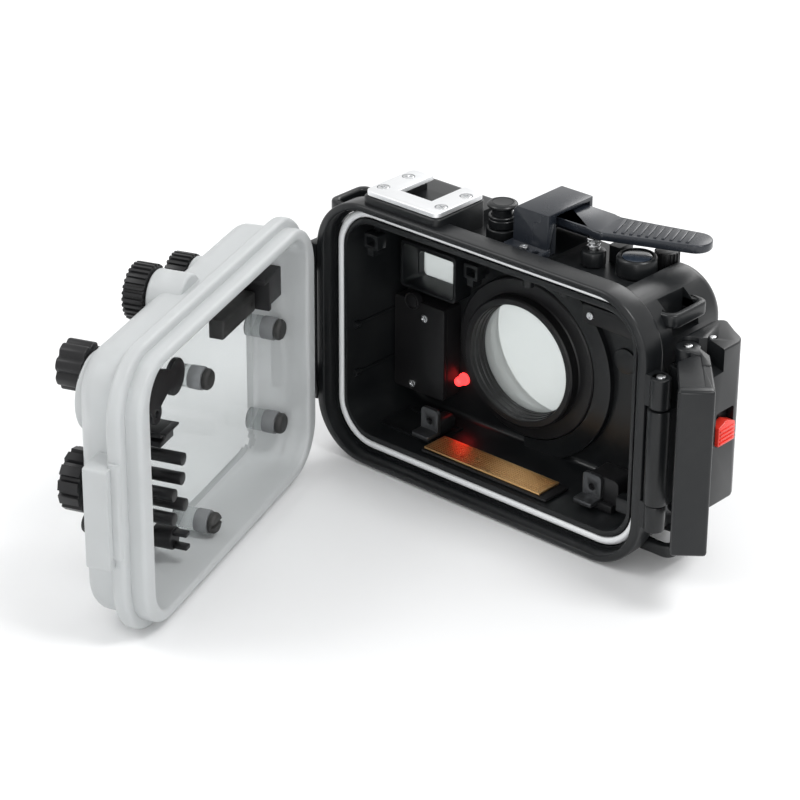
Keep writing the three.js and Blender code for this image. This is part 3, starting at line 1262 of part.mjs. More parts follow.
function swingArm() {
  const rear = -cam.inner - cam.plate;
  const strip = (x, z) => {
    const reach = Math.hypot(x - cam.x, z - cam.z);
    const turn = Math.atan2(z - cam.z, x - cam.x);
    return slab(0, reach, rear, rear + cam.plate, -cam.armWidth / 2, cam.armWidth / 2)
      .rotateY(-turn)
      .translate(cam.x, 0, cam.z);
  };
  const web = prismY(polygon([[cam.x, cam.z], [cam.discX, cam.discZ], [cam.lugX, cam.lugZ]]),
    rear, rear + cam.plate);
  return cut(
    join(
      rodY(cam.x, cam.z, rear, rear + cam.plate, cam.hub),
      web,
      strip(cam.discX, cam.discZ),
      strip(cam.lugX, cam.lugZ),
      rodY(cam.discX, cam.discZ, rear, rear + cam.plate, cam.disc),
      rodY(cam.lugX, cam.lugZ, rear, rear + cam.plate, cam.lug),
    ),
    rodY(cam.x, cam.z, rear - overrun, rear + cam.plate + overrun, cam.shaft + seatGap, smallSides),
    rodY(cam.lugX, cam.lugZ, rear - overrun, rear + cam.plate + overrun, cam.hole, smallSides),
  );
}

add(coverGroup, "swing_arm", swingArm(), blackPlastic);

// Two knurled wheels over the top edge
wheel.x.forEach((x, i) => {
  const z = wheelZ[i];
  add(coverGroup, `top_wheel_${i + 1}`, join(
    prismY(toothedShape(x, z, wheel.radius[i], wheel.tooth, wheel.teeth), -wheel.rear, -wheel.front),
    rodY(x, z, -wheel.front - overrun, -wheel.discRear + overrun / 2, wheel.shaft, smallSides),
    rodY(x, z, -wheel.discRear, -wheel.discFront, wheel.disc, smallSides),
  ), blackPlastic);
});

// Jog dial and the disc with two prongs behind the panel
add(coverGroup, "jog_dial", join(
  prismY(toothedShape(jog.x, jog.z, jog.radius, jog.tooth, jog.teeth, jog.toothShare), -jog.rear,
    -jog.front, jog.bevel),
  rodY(jog.x, jog.z, -jog.front - overrun, -jog.discRear + overrun / 2, jog.shaft, smallSides),
  rodY(jog.x, jog.z, -jog.discRear, -jog.discFront, jog.disc),
  ...[-1, 1].map((side) => rodY(jog.x, jog.z + side * jog.prongReach, -jog.discFront - overrun / 2,
    -jog.prongFront, jog.prong, smallSides)),
), blackPlastic);

// Small forked turning control at the lower right
add(coverGroup, "fork_knob", join(
  rodY(fork.x, fork.z, -fork.rear, -fork.front, fork.knob),
  rodY(fork.x, fork.z, -fork.front - overrun, -fork.bodyRear + overrun / 2, fork.shaft, smallSides),
  rodY(fork.x, fork.z, -fork.bodyRear, -fork.bodyFront, fork.body),
  ...[-1, 1].map((side) => slab(
    fork.x - fork.prongHalf, fork.x + fork.prongHalf, -fork.bodyFront - overrun, -fork.prongFront,
    fork.z + side * fork.prongReach - fork.prong / 2, fork.z + side * fork.prongReach + fork.prong / 2,
  )),
), blackPlastic);

const selectorMiddle = (selector.bottom + selector.top) / 2;

add(coverGroup, "selector_block", cut(
  join(
    slab(selector.left, selector.right, panelSeat, -selector.front, selector.bottom, selector.top),
    slab(selector.left, selector.right, panelSeat, -selector.bladeFront,
      selector.top - selector.blade, selector.top),
  ),
  slab(selector.right - selector.slotDepth, selector.right + overrun, panelSeat - overrun,
    -selector.bladeFront + overrun, selectorMiddle - selector.slot / 2, selectorMiddle + selector.slot / 2),
), blackPlastic);

// Sprung push buttons through the panel
pressX.forEach((x, i) => {
  const z = pressPlaces.z[i];
  const capFront = coverRear - press.travel - seatGap;
  const rodRear = panelFace + 2 * seatGap;
  add(coverGroup, `press_button_${i + 1}`, join(
    rodY(x, z, capFront - press.capHeight, capFront, press.cap),
    rodY(x, z, capFront - overrun, rodRear + overrun, press.shaft, smallSides),
    rodY(x, z, rodRear, -pressPlaces.tip[i], press.rod, smallSides),
  ), blackPlastic);
});

// The open cover, and the part's origin on its base pad
const open = (hinge.openDegrees * Math.PI) / 180;
const hingePoint = new THREE.Vector3(hinge.x, hinge.y, 0);
const swung = hingePoint.clone().applyAxisAngle(new THREE.Vector3(0, 0, 1), -open);
coverGroup.rotation.z = -open;
coverGroup.position.copy(hingePoint).sub(swung);
body.position.set(0, -padMiddle, -floorZ);

export default assembly;
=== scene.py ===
# Underwater camera housing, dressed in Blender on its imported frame.
# Sizes are millimetres from the middle of the body's rear rim face; settle() puts them in metres.
import bmesh
import bpy
import math
from mathutils import Matrix, Vector


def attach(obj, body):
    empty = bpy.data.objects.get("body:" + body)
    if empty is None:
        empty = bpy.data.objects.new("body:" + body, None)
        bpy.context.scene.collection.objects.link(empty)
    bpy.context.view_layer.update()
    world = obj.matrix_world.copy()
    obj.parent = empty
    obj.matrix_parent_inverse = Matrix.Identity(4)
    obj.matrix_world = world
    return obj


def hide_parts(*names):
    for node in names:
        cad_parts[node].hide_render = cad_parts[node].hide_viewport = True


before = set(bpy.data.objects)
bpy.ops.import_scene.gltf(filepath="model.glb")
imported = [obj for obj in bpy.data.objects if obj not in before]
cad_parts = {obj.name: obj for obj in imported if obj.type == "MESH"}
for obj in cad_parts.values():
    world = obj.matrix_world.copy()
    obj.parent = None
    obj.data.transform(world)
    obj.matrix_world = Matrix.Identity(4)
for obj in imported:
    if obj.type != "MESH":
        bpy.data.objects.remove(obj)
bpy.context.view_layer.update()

setting = {
    "mm": 0.001,
    "rimToBase": Vector((0, -22.75, 47.7)),  # the frame's origin lies under the base pad
    "openDegrees": 70,
    "smoothDegrees": 32,
    "sharpDegrees": 25,
    "weld": 0.002,
    "grainDepth": 0.0001,  # metres
    "overrun": 1,
}
toFrame = Matrix.Scale(setting["mm"], 4) @ Matrix.Translation(setting["rimToBase"])
hinge = {"at": (-73, -7), "knuckle": 3.4, "bore": 1.85, "pin": 1.5}
hingeAt = Vector((*hinge["at"], 0))
swing = (
    Matrix.Translation(hingeAt)
    @ Matrix.Rotation(math.radians(-setting["openDegrees"]), 4, "Z")
    @ Matrix.Translation(-hingeAt)
)
over = setting["overrun"]


# Handling of objects

def pickNone():
    bpy.ops.object.select_all(action="DESELECT")


def pickOnly(*pieces):
    pickNone()
    for piece in pieces:
        piece.select_set(True)
    bpy.context.view_layer.objects.active = pieces[0]


def fresh(name):
    piece = bpy.context.active_object
    piece.name = name
    pickOnly(piece)
    bpy.ops.object.transform_apply(location=True, rotation=True, scale=True)
    return piece


def block(name, x, y, z):
    spans = (x, y, z)
    pickNone()
    bpy.ops.mesh.primitive_cube_add(size=1, location=[(a + b) / 2 for a, b in spans])
    bpy.context.active_object.scale = [b - a for a, b in spans]
    return fresh(name)


layRod = {"x": (0, math.pi / 2, 0), "y": (math.pi / 2, 0, 0), "z": (0, 0, 0)}


def withAxis(axis, pair, level):
    place = list(pair)
    place.insert("xyz".index(axis), level)
    return Vector(place)


def rod(name, axis, at, span, radius, sides=40):
    pickNone()
    bpy.ops.mesh.primitive_cylinder_add(
        vertices=sides, radius=radius, depth=span[1] - span[0],
        location=withAxis(axis, at, (span[0] + span[1]) / 2), rotation=layRod[axis])
    return fresh(name)


def newObject(name, data):
    piece = bpy.data.objects.new(name, data)
    bpy.context.scene.collection.objects.link(piece)
    return piece


def meshFrom(name, points, edges=(), faces=()):
    data = bpy.data.meshes.new(name)
    data.from_pydata([tuple(point) for point in points], edges, faces)
    return newObject(name, data)


def startEdit(piece, kind="VERT", action="SELECT"):
    pickOnly(piece)
    bpy.ops.object.mode_set(mode="EDIT")
    bpy.ops.mesh.select_mode(type=kind)
    bpy.ops.mesh.select_all(action=action)


def endEdit(piece, turnOut=False):
    if turnOut:
        bpy.ops.mesh.select_all(action="SELECT")
        bpy.ops.mesh.remove_doubles(threshold=setting["weld"])
        bpy.ops.mesh.normals_make_consistent(inside=False)
    bpy.ops.mesh.select_mode(type="VERT")
    bpy.ops.object.mode_set(mode="OBJECT")
    return piece


# An outline pulled along an axis into a solid
def prism(name, axis, outline, span):
    piece = meshFrom(name, [withAxis(axis, pair, span[0]) for pair in outline],
                     faces=[list(range(len(outline)))])
    startEdit(piece)
    bpy.ops.mesh.extrude_region_move(
        TRANSFORM_OT_translate={"value": withAxis(axis, (0, 0), span[1] - span[0])})
    return endEdit(piece, turnOut=True)


# A closed ring of (radius, level) points spun about a line along the axis
def turned(name, axis, at, profile, steps=72):
    offset = {"x": (0, 1, 0), "y": (1, 0, 0), "z": (1, 0, 0)}[axis]
    points = [withAxis(axis, at, level) + radius * Vector(offset) for radius, level in profile]
    count = len(profile)
    piece = meshFrom(name, points, edges=[(i, (i + 1) % count) for i in range(count)])
    startEdit(piece)
    bpy.ops.mesh.spin(steps=steps, angle=2 * math.pi, center=withAxis(axis, at, 0),
                      axis=withAxis(axis, (0, 0), 1))
    return endEdit(piece, turnOut=True)


# Bevels the sharp edges that chosen(middle, direction) accepts
def roundEdges(piece, width, segments=3, chosen=None):
    startEdit(piece, "EDGE", "DESELECT")
    shape = bmesh.from_edit_mesh(piece.data)
    sharp = math.radians(setting["sharpDegrees"])
    for edge in shape.edges:
        first, last = (vert.co for vert in edge.verts)
        if len(edge.link_faces) == 2 and edge.calc_face_angle(0) > sharp:
            if chosen is None or chosen((first + last) / 2, (last - first).normalized()):
                edge.select = True
    bmesh.update_edit_mesh(piece.data)
    bpy.ops.mesh.bevel(offset=width, segments=segments, affect="EDGES", clamp_overlap=False)
    return endEdit(piece)


# Draws in the faces that look forward, so that the sides get a little draft
def drawInFront(piece, factors, centre):
    startEdit(piece, "FACE", "DESELECT")
    shape = bmesh.from_edit_mesh(piece.data)
    shape.normal_update()
    for face in shape.faces:
        face.select = face.normal.y > 0.9
    bmesh.update_edit_mesh(piece.data)
    bpy.ops.transform.resize(value=factors, center_override=centre)
    return endEdit(piece)


def combine(piece, operation, tools):
    shelf = bpy.data.collections.new("tools")
    for tool in tools:
        shelf.objects.link(tool)
    change = piece.modifiers.new("shape", "BOOLEAN")
    change.operation = operation
    change.solver = "EXACT"
    change.operand_type = "COLLECTION"
    change.collection = shelf
    pickOnly(piece)
    bpy.ops.object.modifier_apply(modifier=change.name)
    for tool in tools:
        bpy.data.objects.remove(tool)
    bpy.data.collections.remove(shelf)
    return piece


def fuse(piece, *tools):
    return combine(piece, "UNION", tools)


def carve(piece, *tools):
    return combine(piece, "DIFFERENCE", tools)


def gather(*pieces):
    pickOnly(*pieces)
    bpy.ops.object.join()
    return bpy.context.active_object


def turnPiece(piece, degrees, axis):
    piece.data.transform(Matrix.Rotation(math.radians(degrees), 4, axis))
    return piece


# Gives a finished piece its place, look, body and the nodes that it stands for
def settle(piece, body, look, slot, *nodes, onCover=False):
    piece.data.transform(toFrame @ swing if onCover else toFrame)
    pickOnly(piece)
    bpy.ops.object.shade_smooth_by_angle(angle=math.radians(setting["smoothDegrees"]))
    if not [spot for spot in piece.data.materials if spot]:
        piece.data.materials.clear()
        piece.data.materials.append(look)
    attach(piece, body)
    if nodes:
        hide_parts(*nodes)
    return piece


# A rounded slab in the XZ plane; corners run top right, top left, bottom left, bottom right
def outlineBlock(name, halfWidth, halfHeight, radii, span, steps=10):
    piece = block(name, (-halfWidth, halfWidth), span, (-halfHeight, halfHeight))
    for (right, up), radius in zip(((1, 1), (-1, 1), (-1, -1), (1, -1)), radii):
        roundEdges(piece, radius, steps, lambda middle, way: (
            abs(way.y) > 0.9 and middle.x * right > 0 and middle.z * up > 0))
    return piece


def evenBlock(name, facts, span, steps=10, grow=0):
    return outlineBlock(name, facts["halfWidth"] + grow, facts["halfHeight"] + grow,
                        (facts["radius"],) * 4, span, steps)


# A block whose edges along one axis are rounded
def roundedBar(name, x, y, z, axis, radius, steps=6):
    return roundEdges(block(name, x, y, z), radius, steps, along(axis))


def roundRod(name, axis, at, span, radius, sides, width, segments=2, chosen=None):
    return roundEdges(rod(name, axis, at, span, radius, sides), width, segments, chosen)


# Choosers for roundEdges: edges at a level, along an axis or square to it
def at(level, axis="z", slack=0.01):
    index = "xyz".index(axis)
    return lambda middle, way: abs(middle[index] - level) < slack


def along(axis):
    index = "xyz".index(axis)
    return lambda middle, way: abs(way[index]) > 0.9


def across(axis, limit=0.5):
    index = "xyz".index(axis)
    return lambda middle, way: abs(way[index]) < limit


# Looks: two shader groups that put out values for the materials' own shaders

def newGroup(name, inputs, outputs):
    tree = bpy.data.node_groups.new(name, "ShaderNodeTree")
    for label, kind, value in inputs:
        socket = tree.interface.new_socket(label, in_out="INPUT", socket_type=kind)
        if value is not None:
            socket.default_value = value
    for label, kind in outputs:
        tree.interface.new_socket(label, in_out="OUTPUT", socket_type=kind)
    return tree, tree.nodes.new("NodeGroupInput"), tree.nodes.new("NodeGroupOutput")


def setInputs(node, values):
    for label, value in values.items():
        node.inputs[label].default_value = value


def noiseNode(tree, place, scale, detail=3.0, roughness=0.55):
    node = tree.nodes.new("ShaderNodeTexNoise")
    setInputs(node, {"Detail": detail, "Roughness": roughness})
    tree.links.new(place, node.inputs["Vector"])
    tree.links.new(scale, node.inputs["Scale"])
    return node


def rangeNode(tree, value, low, high, fromLow=0.3, fromHigh=0.7):
    node = tree.nodes.new("ShaderNodeMapRange")
    setInputs(node, {"From Min": fromLow, "From Max": fromHigh})
    tree.links.new(value, node.inputs["Value"])
    for socket, end in (("To Min", low), ("To Max", high)):
        if isinstance(end, (int, float)):
            node.inputs[socket].default_value = end
        else:
            tree.links.new(end, node.inputs[socket])
    return node.outputs["Result"]


def mouldedSkinGroup():
    tree, source, target = newGroup("mouldedSkin", [
        ("Place", "NodeSocketVector", None),
        ("Grain Scale", "NodeSocketFloat", 2600.0),
        ("Patch Scale", "NodeSocketFloat", 45.0),
        ("Smoothest", "NodeSocketFloat", 0.3),
        ("Roughest", "NodeSocketFloat", 0.45),
    ], [("Roughness", "NodeSocketFloat"), ("Height", "NodeSocketFloat")])
    patches = noiseNode(tree, source.outputs["Place"], source.outputs["Patch Scale"], 4.0)
    grain = noiseNode(tree, source.outputs["Place"], source.outputs["Grain Scale"], 2.0)
    rough = rangeNode(tree, patches.outputs["Fac"], source.outputs["Smoothest"],
                      source.outputs["Roughest"])
    tree.links.new(rough, target.inputs["Roughness"])
    tree.links.new(grain.outputs["Fac"], target.inputs["Height"])
    return tree


def handledTintGroup():
    tree, source, target = newGroup("handledTint", [
        ("Place", "NodeSocketVector", None),
        ("Color", "NodeSocketColor", None),
        ("Dust Color", "NodeSocketColor", None),
        ("Dust", "NodeSocketFloat", 0.1),
        ("Scale", "NodeSocketFloat", 60.0),
    ], [("Color", "NodeSocketColor")])
    cloud = noiseNode(tree, source.outputs["Place"], source.outputs["Scale"], 6.0, 0.65)
    amount = rangeNode(tree, cloud.outputs["Fac"], 0.0, source.outputs["Dust"], 0.4, 0.75)
    mix = tree.nodes.new("ShaderNodeMix")
    mix.data_type = "RGBA"
    tree.links.new(amount, mix.inputs["Factor"])
    tree.links.new(source.outputs["Color"], mix.inputs["A"])
    tree.links.new(source.outputs["Dust Color"], mix.inputs["B"])
    tree.links.new(mix.outputs["Result"], target.inputs["Color"])
    return tree


mouldedSkin = mouldedSkinGroup()
handledTint = handledTintGroup()


def newLook(name):
    look = bpy.data.materials.new(name)
    look.use_nodes = True
    shader = look.node_tree.nodes["Principled BSDF"]
    coords = look.node_tree.nodes.new("ShaderNodeTexCoord")
    return look, look.node_tree, shader, coords.outputs["Object"]


# One moulded, cast or rubber finish: colour with dust, patchy gloss and a fine grain
def surface(name, color, dust, dustColor=(0.25, 0.25, 0.24), gloss=(0.32, 0.45), grain=2600,
            bump=0.06, metallic=0.0, coat=0.0, coatRoughness=0.2, specular=0.5, patch=45):
    look, tree, shader, place = newLook(name)
    skin = tree.nodes.new("ShaderNodeGroup")
    skin.node_tree = mouldedSkin
    tint = tree.nodes.new("ShaderNodeGroup")
    tint.node_tree = handledTint
    raised = tree.nodes.new("ShaderNodeBump")
    tree.links.new(place, skin.inputs["Place"])
    tree.links.new(place, tint.inputs["Place"])
    setInputs(skin, {"Grain Scale": grain, "Patch Scale": patch, "Smoothest": gloss[0],
                     "Roughest": gloss[1]})
    setInputs(tint, {"Color": (*color, 1), "Dust Color": (*dustColor, 1), "Dust": dust})
    setInputs(raised, {"Strength": bump, "Distance": setting["grainDepth"]})
    tree.links.new(skin.outputs["Height"], raised.inputs["Height"])
    tree.links.new(tint.outputs["Color"], shader.inputs["Base Color"])
    tree.links.new(skin.outputs["Roughness"], shader.inputs["Roughness"])
    tree.links.new(raised.outputs["Normal"], shader.inputs["Normal"])
    setInputs(shader, {"Metallic": metallic, "Coat Weight": coat,
                       "Coat Roughness": coatRoughness, "Specular IOR Level": specular})
    return look


# Clear or frosted plastic and glass
def seeThrough(name, color, gloss, transmission, ior, dust=0.05, grain=900, bump=0.03,
               dustColor=(0.9, 0.91, 0.92)):
    look = surface(name, color, dust, dustColor, gloss, grain, bump, patch=30)
    setInputs(look.node_tree.nodes["Principled BSDF"],
              {"Transmission Weight": transmission, "IOR": ior})
    return look


def glowing(name, color, strength):
    look = surface(name, color, 0.02, gloss=(0.12, 0.2), bump=0.02)
    setInputs(look.node_tree.nodes["Principled BSDF"],
              {"Emission Color": (*color, 1), "Emission Strength": strength})
    return look


looks = {
    "satinBlack": surface("satinBlack", (0.007, 0.008, 0.009), 0.02, gloss=(0.28, 0.38), bump=0.05,
                          coat=0.1, coatRoughness=0.2, specular=0.32),
    "mouldedBlack": surface("mouldedBlack", (0.008, 0.008, 0.009), 0.03, gloss=(0.32, 0.46),
                            bump=0.08, specular=0.35),
    "levelBlack": surface("levelBlack", (0.012, 0.015, 0.021), 0.02, gloss=(0.24, 0.34), bump=0.02,
                          coat=0.2, coatRoughness=0.15, specular=0.45),
    "rubberBlack": surface("rubberBlack", (0.013, 0.013, 0.013), 0.14, gloss=(0.55, 0.7),
                           grain=1800, bump=0.15),
    "sealWhite": surface("sealWhite", (0.86, 0.875, 0.885), 0.06, (0.5, 0.5, 0.5), (0.25, 0.4),
                         coat=0.3),
    "steel": surface("steel", (0.75, 0.76, 0.77), 0.1, (0.5, 0.5, 0.5), (0.2, 0.32), metallic=1.0,
                     grain=3000, bump=0.03),
    "platedSteel": surface("platedSteel", (0.86, 0.87, 0.88), 0.08, (0.65, 0.65, 0.65),
                           (0.3, 0.42), metallic=0.75, grain=3200, bump=0.05),
    "copper": surface("copper", (0.78, 0.47, 0.2), 0.12, (0.5, 0.3, 0.15), (0.25, 0.38),
                      metallic=0.9),
    "lockRed": surface("lockRed", (0.75, 0.035, 0.02), 0.05, (0.8, 0.2, 0.15), (0.3, 0.4),
                       coat=0.3),
    "lampRed": glowing("lampRed", (1.0, 0.04, 0.04), 2.6),
    "restSteel": surface("restSteel", (0.07, 0.073, 0.077), 0.05, gloss=(0.25, 0.35),
                         metallic=0.7),
    "blueDisc": surface("blueDisc", (0.02, 0.028, 0.042), 0.05, gloss=(0.12, 0.2), coat=0.6),
    "frosted": seeThrough("frosted", (0.63, 0.65, 0.655), (0.3, 0.42), 0.35, 1.3, bump=0.08),
    "clearPanel": seeThrough("clearPanel", (0.71, 0.735, 0.735), (0.08, 0.16), 0.9, 1.2),
    "smokedPost": seeThrough("smokedPost", (0.3, 0.31, 0.32), (0.15, 0.25), 0.5, 1.3),
    "portGlass": seeThrough("portGlass", (0.88, 0.92, 0.91), (0.02, 0.04), 0.6, 1.12, 0.02,
                            bump=0.0),
}
print("looks are made")


def paint(piece, look):
    piece.data.materials.append(looks[look])
    return piece


def dress(piece, look, slot, node, body="housing"):
    return settle(piece, body, looks[look], slot, node)


def dressCover(piece, look, slot, *nodes, body="cover"):
    return settle(piece, body, looks[look], slot, *nodes, onCover=True)


# A black control in the cover, whose body and node have one name
def coverControl(name, *parts):
    return dressCover(gather(*parts), "mouldedBlack", "part_black", name, body=name)


# Camera, floor and light

stageSet = {
    "camera": (0.5560, -0.68685, 0.4737),
    "aim": (-0.0311, -0.02275, 0.0304),
    "rollDegrees": 0.34,
    "lens": 134.6,
    "sensor": 36,
    "floorSize": 6,
    "floorLevel": -0.0002,
    "floorRoughness": 0.7,
    "floorColor": (0.86, 0.865, 0.87, 1),
    "sky": (1.0, 1.0, 1.0, 1),
    "skyStrength": 0.85,
}


def makeCamera():
    data = bpy.data.cameras.new("photoCamera")
    data.lens = stageSet["lens"]
    data.sensor_width = stageSet["sensor"]
    data.clip_start = 0.01
    camera = newObject("photoCamera", data)
    place = Vector(stageSet["camera"])
    ahead = (Vector(stageSet["aim"]) - place).normalized()
    level = ahead.cross(Vector((0, 0, 1))).normalized()
    roll = math.radians(stageSet["rollDegrees"])
    right = math.cos(roll) * level + math.sin(roll) * level.cross(ahead)
    up = right.cross(ahead)
    turn = Matrix((right, up, -ahead)).transposed()
    camera.matrix_world = Matrix.Translation(place) @ turn.to_4x4()
    bpy.context.scene.camera = camera


def makeFloor():
    pickNone()
    bpy.ops.mesh.primitive_plane_add(size=stageSet["floorSize"],
                                     location=(0, 0, stageSet["floorLevel"]))
    floor = fresh("studioFloor")
    look, tree, shader, place = newLook("floorPaper")
    setInputs(shader, {"Base Color": stageSet["floorColor"],
                       "Roughness": stageSet["floorRoughness"]})
    floor.data.materials.append(look)


lamps = [  # place, aim, size, power
    ("highLeft", (-0.9, -0.9, 1.5), (0, 0, 0.05), 0.7, 8),
    ("overRight", (0.8, 0.1, 1.4), (0.02, 0, 0.06), 0.5, 10),
    ("farSide", (-0.3, 1.4, 0.9), (0, 0, 0.05), 0.8, 7),
    ("nearCamera", (0.9, -1.2, 0.5), (0, 0, 0.04), 0.4, 3),
]


def makeLight():
    world = bpy.data.worlds.new("paleRoom")
    world.use_nodes = True
    setInputs(world.node_tree.nodes["Background"],
              {"Color": stageSet["sky"], "Strength": stageSet["skyStrength"]})
    bpy.context.scene.world = world
    for name, place, aim, size, power in lamps:
        data = bpy.data.lights.new(name, "AREA")
        data.size = size
        data.energy = power
        lamp = newObject(name, data)
        lamp.location = place
        lamp.rotation_euler = (Vector(aim) - Vector(place)).to_track_quat("-Z", "Y").to_euler()


makeCamera()
makeFloor()
makeLight()
bpy.context.scene.view_settings.view_transform = "Standard"
print("camera, floor and light stand")


# Front body

rim = {"halfWidth": 69, "halfHeight": 47.4, "radius": 20, "depth": 9, "edge": 1.1}
lip = {"side": 3.5, "flat": 2.3, "depth": 5.4, "radius": 17, "toGroove": 2.75, "groove": 3.3}
cavity = {"halfWidth": 59.8, "halfHeight": 38.6, "radius": 11, "depth": 37, "fillet": 2.2}
tub = {"wide": 1.2, "tall": 2.3, "draft": 0.3, "front": 42, "shoulder": 15, "corner": 17.7,
       "nose": 4.6}
lens = {"x": -6, "z": -6.5, "bore": 23, "boss": 30, "bossFront": 44, "seat": 27, "seatRear": 40.2,
        "plate": 35.5, "plateRear": 34.8, "flange": 28.8}
window = {"x": (-55.5, -38), "z": (8, 17.6), "radius": 1.5, "rebate": 0.9, "rear": 39.7}
shoe = {"x": (-50.4, -17.7), "y": (2.2, 27), "top": 52, "plate": 1.6, "radius": 2.5,
        "notchX": (-40.9, -27.2), "notchRear": 10.4, "slotReach": 2.6, "slot": 3.8, "base": 36,
        "screwX": (-46.5, -21.6), "screwY": (8.7, 21)}
controls = {  # x, y, boss radius, boss top, bore radius
    "button": (-7, 22, 5.2, 45.3, 1.85),
    "plunger": (27.5, 25.6, 4.4, 41.0, 1.75),
    "knob": (42.3, 28.9, 6.9, 41.1, 2.15),
    "dial": (46.4, 39.2, 4.4, 41.2, 1.85),
}
strapLoops = {  # x, y, z, where the bar's open side points
    "right": ((50, 69.7), (12.4, 31), (35.4, 40), 1),
    "left": ((-66.4, -52), (3, 20.6), (39.4, 44), -1),
    "low": ((58, 74.6), (9.5, 27.5), (-42.3, -37.7), 1),
}
strap = {"bar": 2.6, "radius": 3.5, "edge": 0.9}
clipsAt = (  # x, y, z, end and top of the stem
    (-53.4, 10, 27.3, 14.5, 39.6),
    (-25.6, 28.5, 18.5, 38, 23.9),
)
strapWells = [((60.9, 73.3), (15, 28.4), (31.8, 44.6)), ((-70, -58.9), (5.6, 18), (35.8, 48.6))]
latch = {"at": (73.5, 1.8), "barrel": 3.3, "sleeve": 3.8, "pin": 1.5, "bore": 1.85}
bodyKnuckles = ((14.6, 25), (-28, -18.8))


def strapLoop(name, x, y, z, way):
    loop = roundedBar(name, x, y, z, "z", strap["radius"], 6)
    bar = strap["bar"]
    holeX = (x[0] - over, x[1] - bar) if way > 0 else (x[0] + bar, x[1] + over)
    hole = roundedBar("hole", holeX, (y[0] + bar, y[1] - bar), (z[0] - over, z[1] + over), "z",
                      strap["radius"] / 2, 4)
    carve(loop, hole)
    return roundEdges(loop, strap["edge"], 3, across("z", 0.1))


def insideDetails():
    wall = cavity["depth"]
    back = -cavity["halfWidth"]
    parts = []
    frameX, frameZ, frameRear = (-57, -32.4), (7, 24), 29
    surround = roundedBar("surround", frameX, (frameRear, wall + over), frameZ, "y", 1.5, 3)
    carve(surround,
          roundedBar("opening", (frameX[0] + 1.2, frameX[1] - 1.2), (26, 40),
                     (frameZ[0] + 1.2, frameZ[1] - 1.2), "y", window["radius"], 4),
          rod("ring", "y", (lens["x"], lens["z"]), (26, 40), lens["flange"], 96))
    parts.append(roundEdges(surround, 0.3, 2, at(frameRear, "y")))
    for z in (-2, -20):  # ribs with their small pegs on the left wall
        parts.append(roundedBar("rib", (back - over, back + 0.7), (10, wall), (z - 0.4, z + 0.4),
                                "y", 0.3, 2))
        parts.append(roundRod("peg", "y", (back, z), (8.7, 11.3), 1.3, 20, 0.3))
    for x, y, z, stemEnd, stemTop in clipsAt:
        clip = roundedBar("clip", (x - 3, x + 3), (y, y + 4.5), (z, z + 5.4), "y", 0.5, 2)
        carve(clip, block("slot", (x - 1.8, x + 1.8), (y - 1, y + 3.3), (z + 1.2, z + 4.2)))
        parts.append(roundEdges(clip, 0.2, 2))
        parts.append(roundedBar("tongue", (x - 1.3, x + 1.3), (y, y + 4.5), (z - 2.6, z + 0.6),
                                "x", 0.5, 2))
        parts.append(block("stem", (x - 1.3, x + 1.3), (y + 3.3, stemEnd), (z, stemTop)))
    parts.append(roundedBar("sideClip", (53.8, 60.8), (8, 12.5), (-31.5, -26.1), "x", 0.7, 2))
    for x, y in ((4.6, 22), (17.8, 24.5)):
        parts.append(roundRod("post", "z", (x, y), (27.6, 39.6), 2, 24, 0.4, 2, at(27.6)))
    parts.append(rod("armBoss", "y", (24.6, 20.9), (31.8, 38), 3, 24))
    parts.append(roundRod("cap", "y", (33.7, 4.9), (36.2, 38), 4.4, 40, 0.3, 2, at(36.2, "y")))
    floor = -cavity["halfHeight"]
    tray = block("tray", (-53.5, -28.4), (14, 29.5), (floor - over, floor + 0.8))
    carve(tray, block("trayHole", (-52.7, -29.2), (14.8, 28.7), (floor - 2 * over, 0)))
    parts.append(tray)
    return parts


def ringPlate():
    spot = (lens["x"], lens["z"])
    wall = cavity["depth"]
    plate = rod("ringPlate", "y", spot, (lens["plateRear"], wall + over), lens["plate"], 128)
    roundEdges(plate, 0.4, 2, at(lens["plateRear"], "y"))
    room = block("room", (-70, 70), (30, 45), (-60, 60))
    carve(room, evenBlock("inner", cavity, (20, 60), grow=over / 2))
    carve(plate, rod("ring", "y", spot, (30, 45), lens["flange"], 96),
          block("half", (-60, lens["x"]), (30, 45), (-60, 60)), room)
    return plate


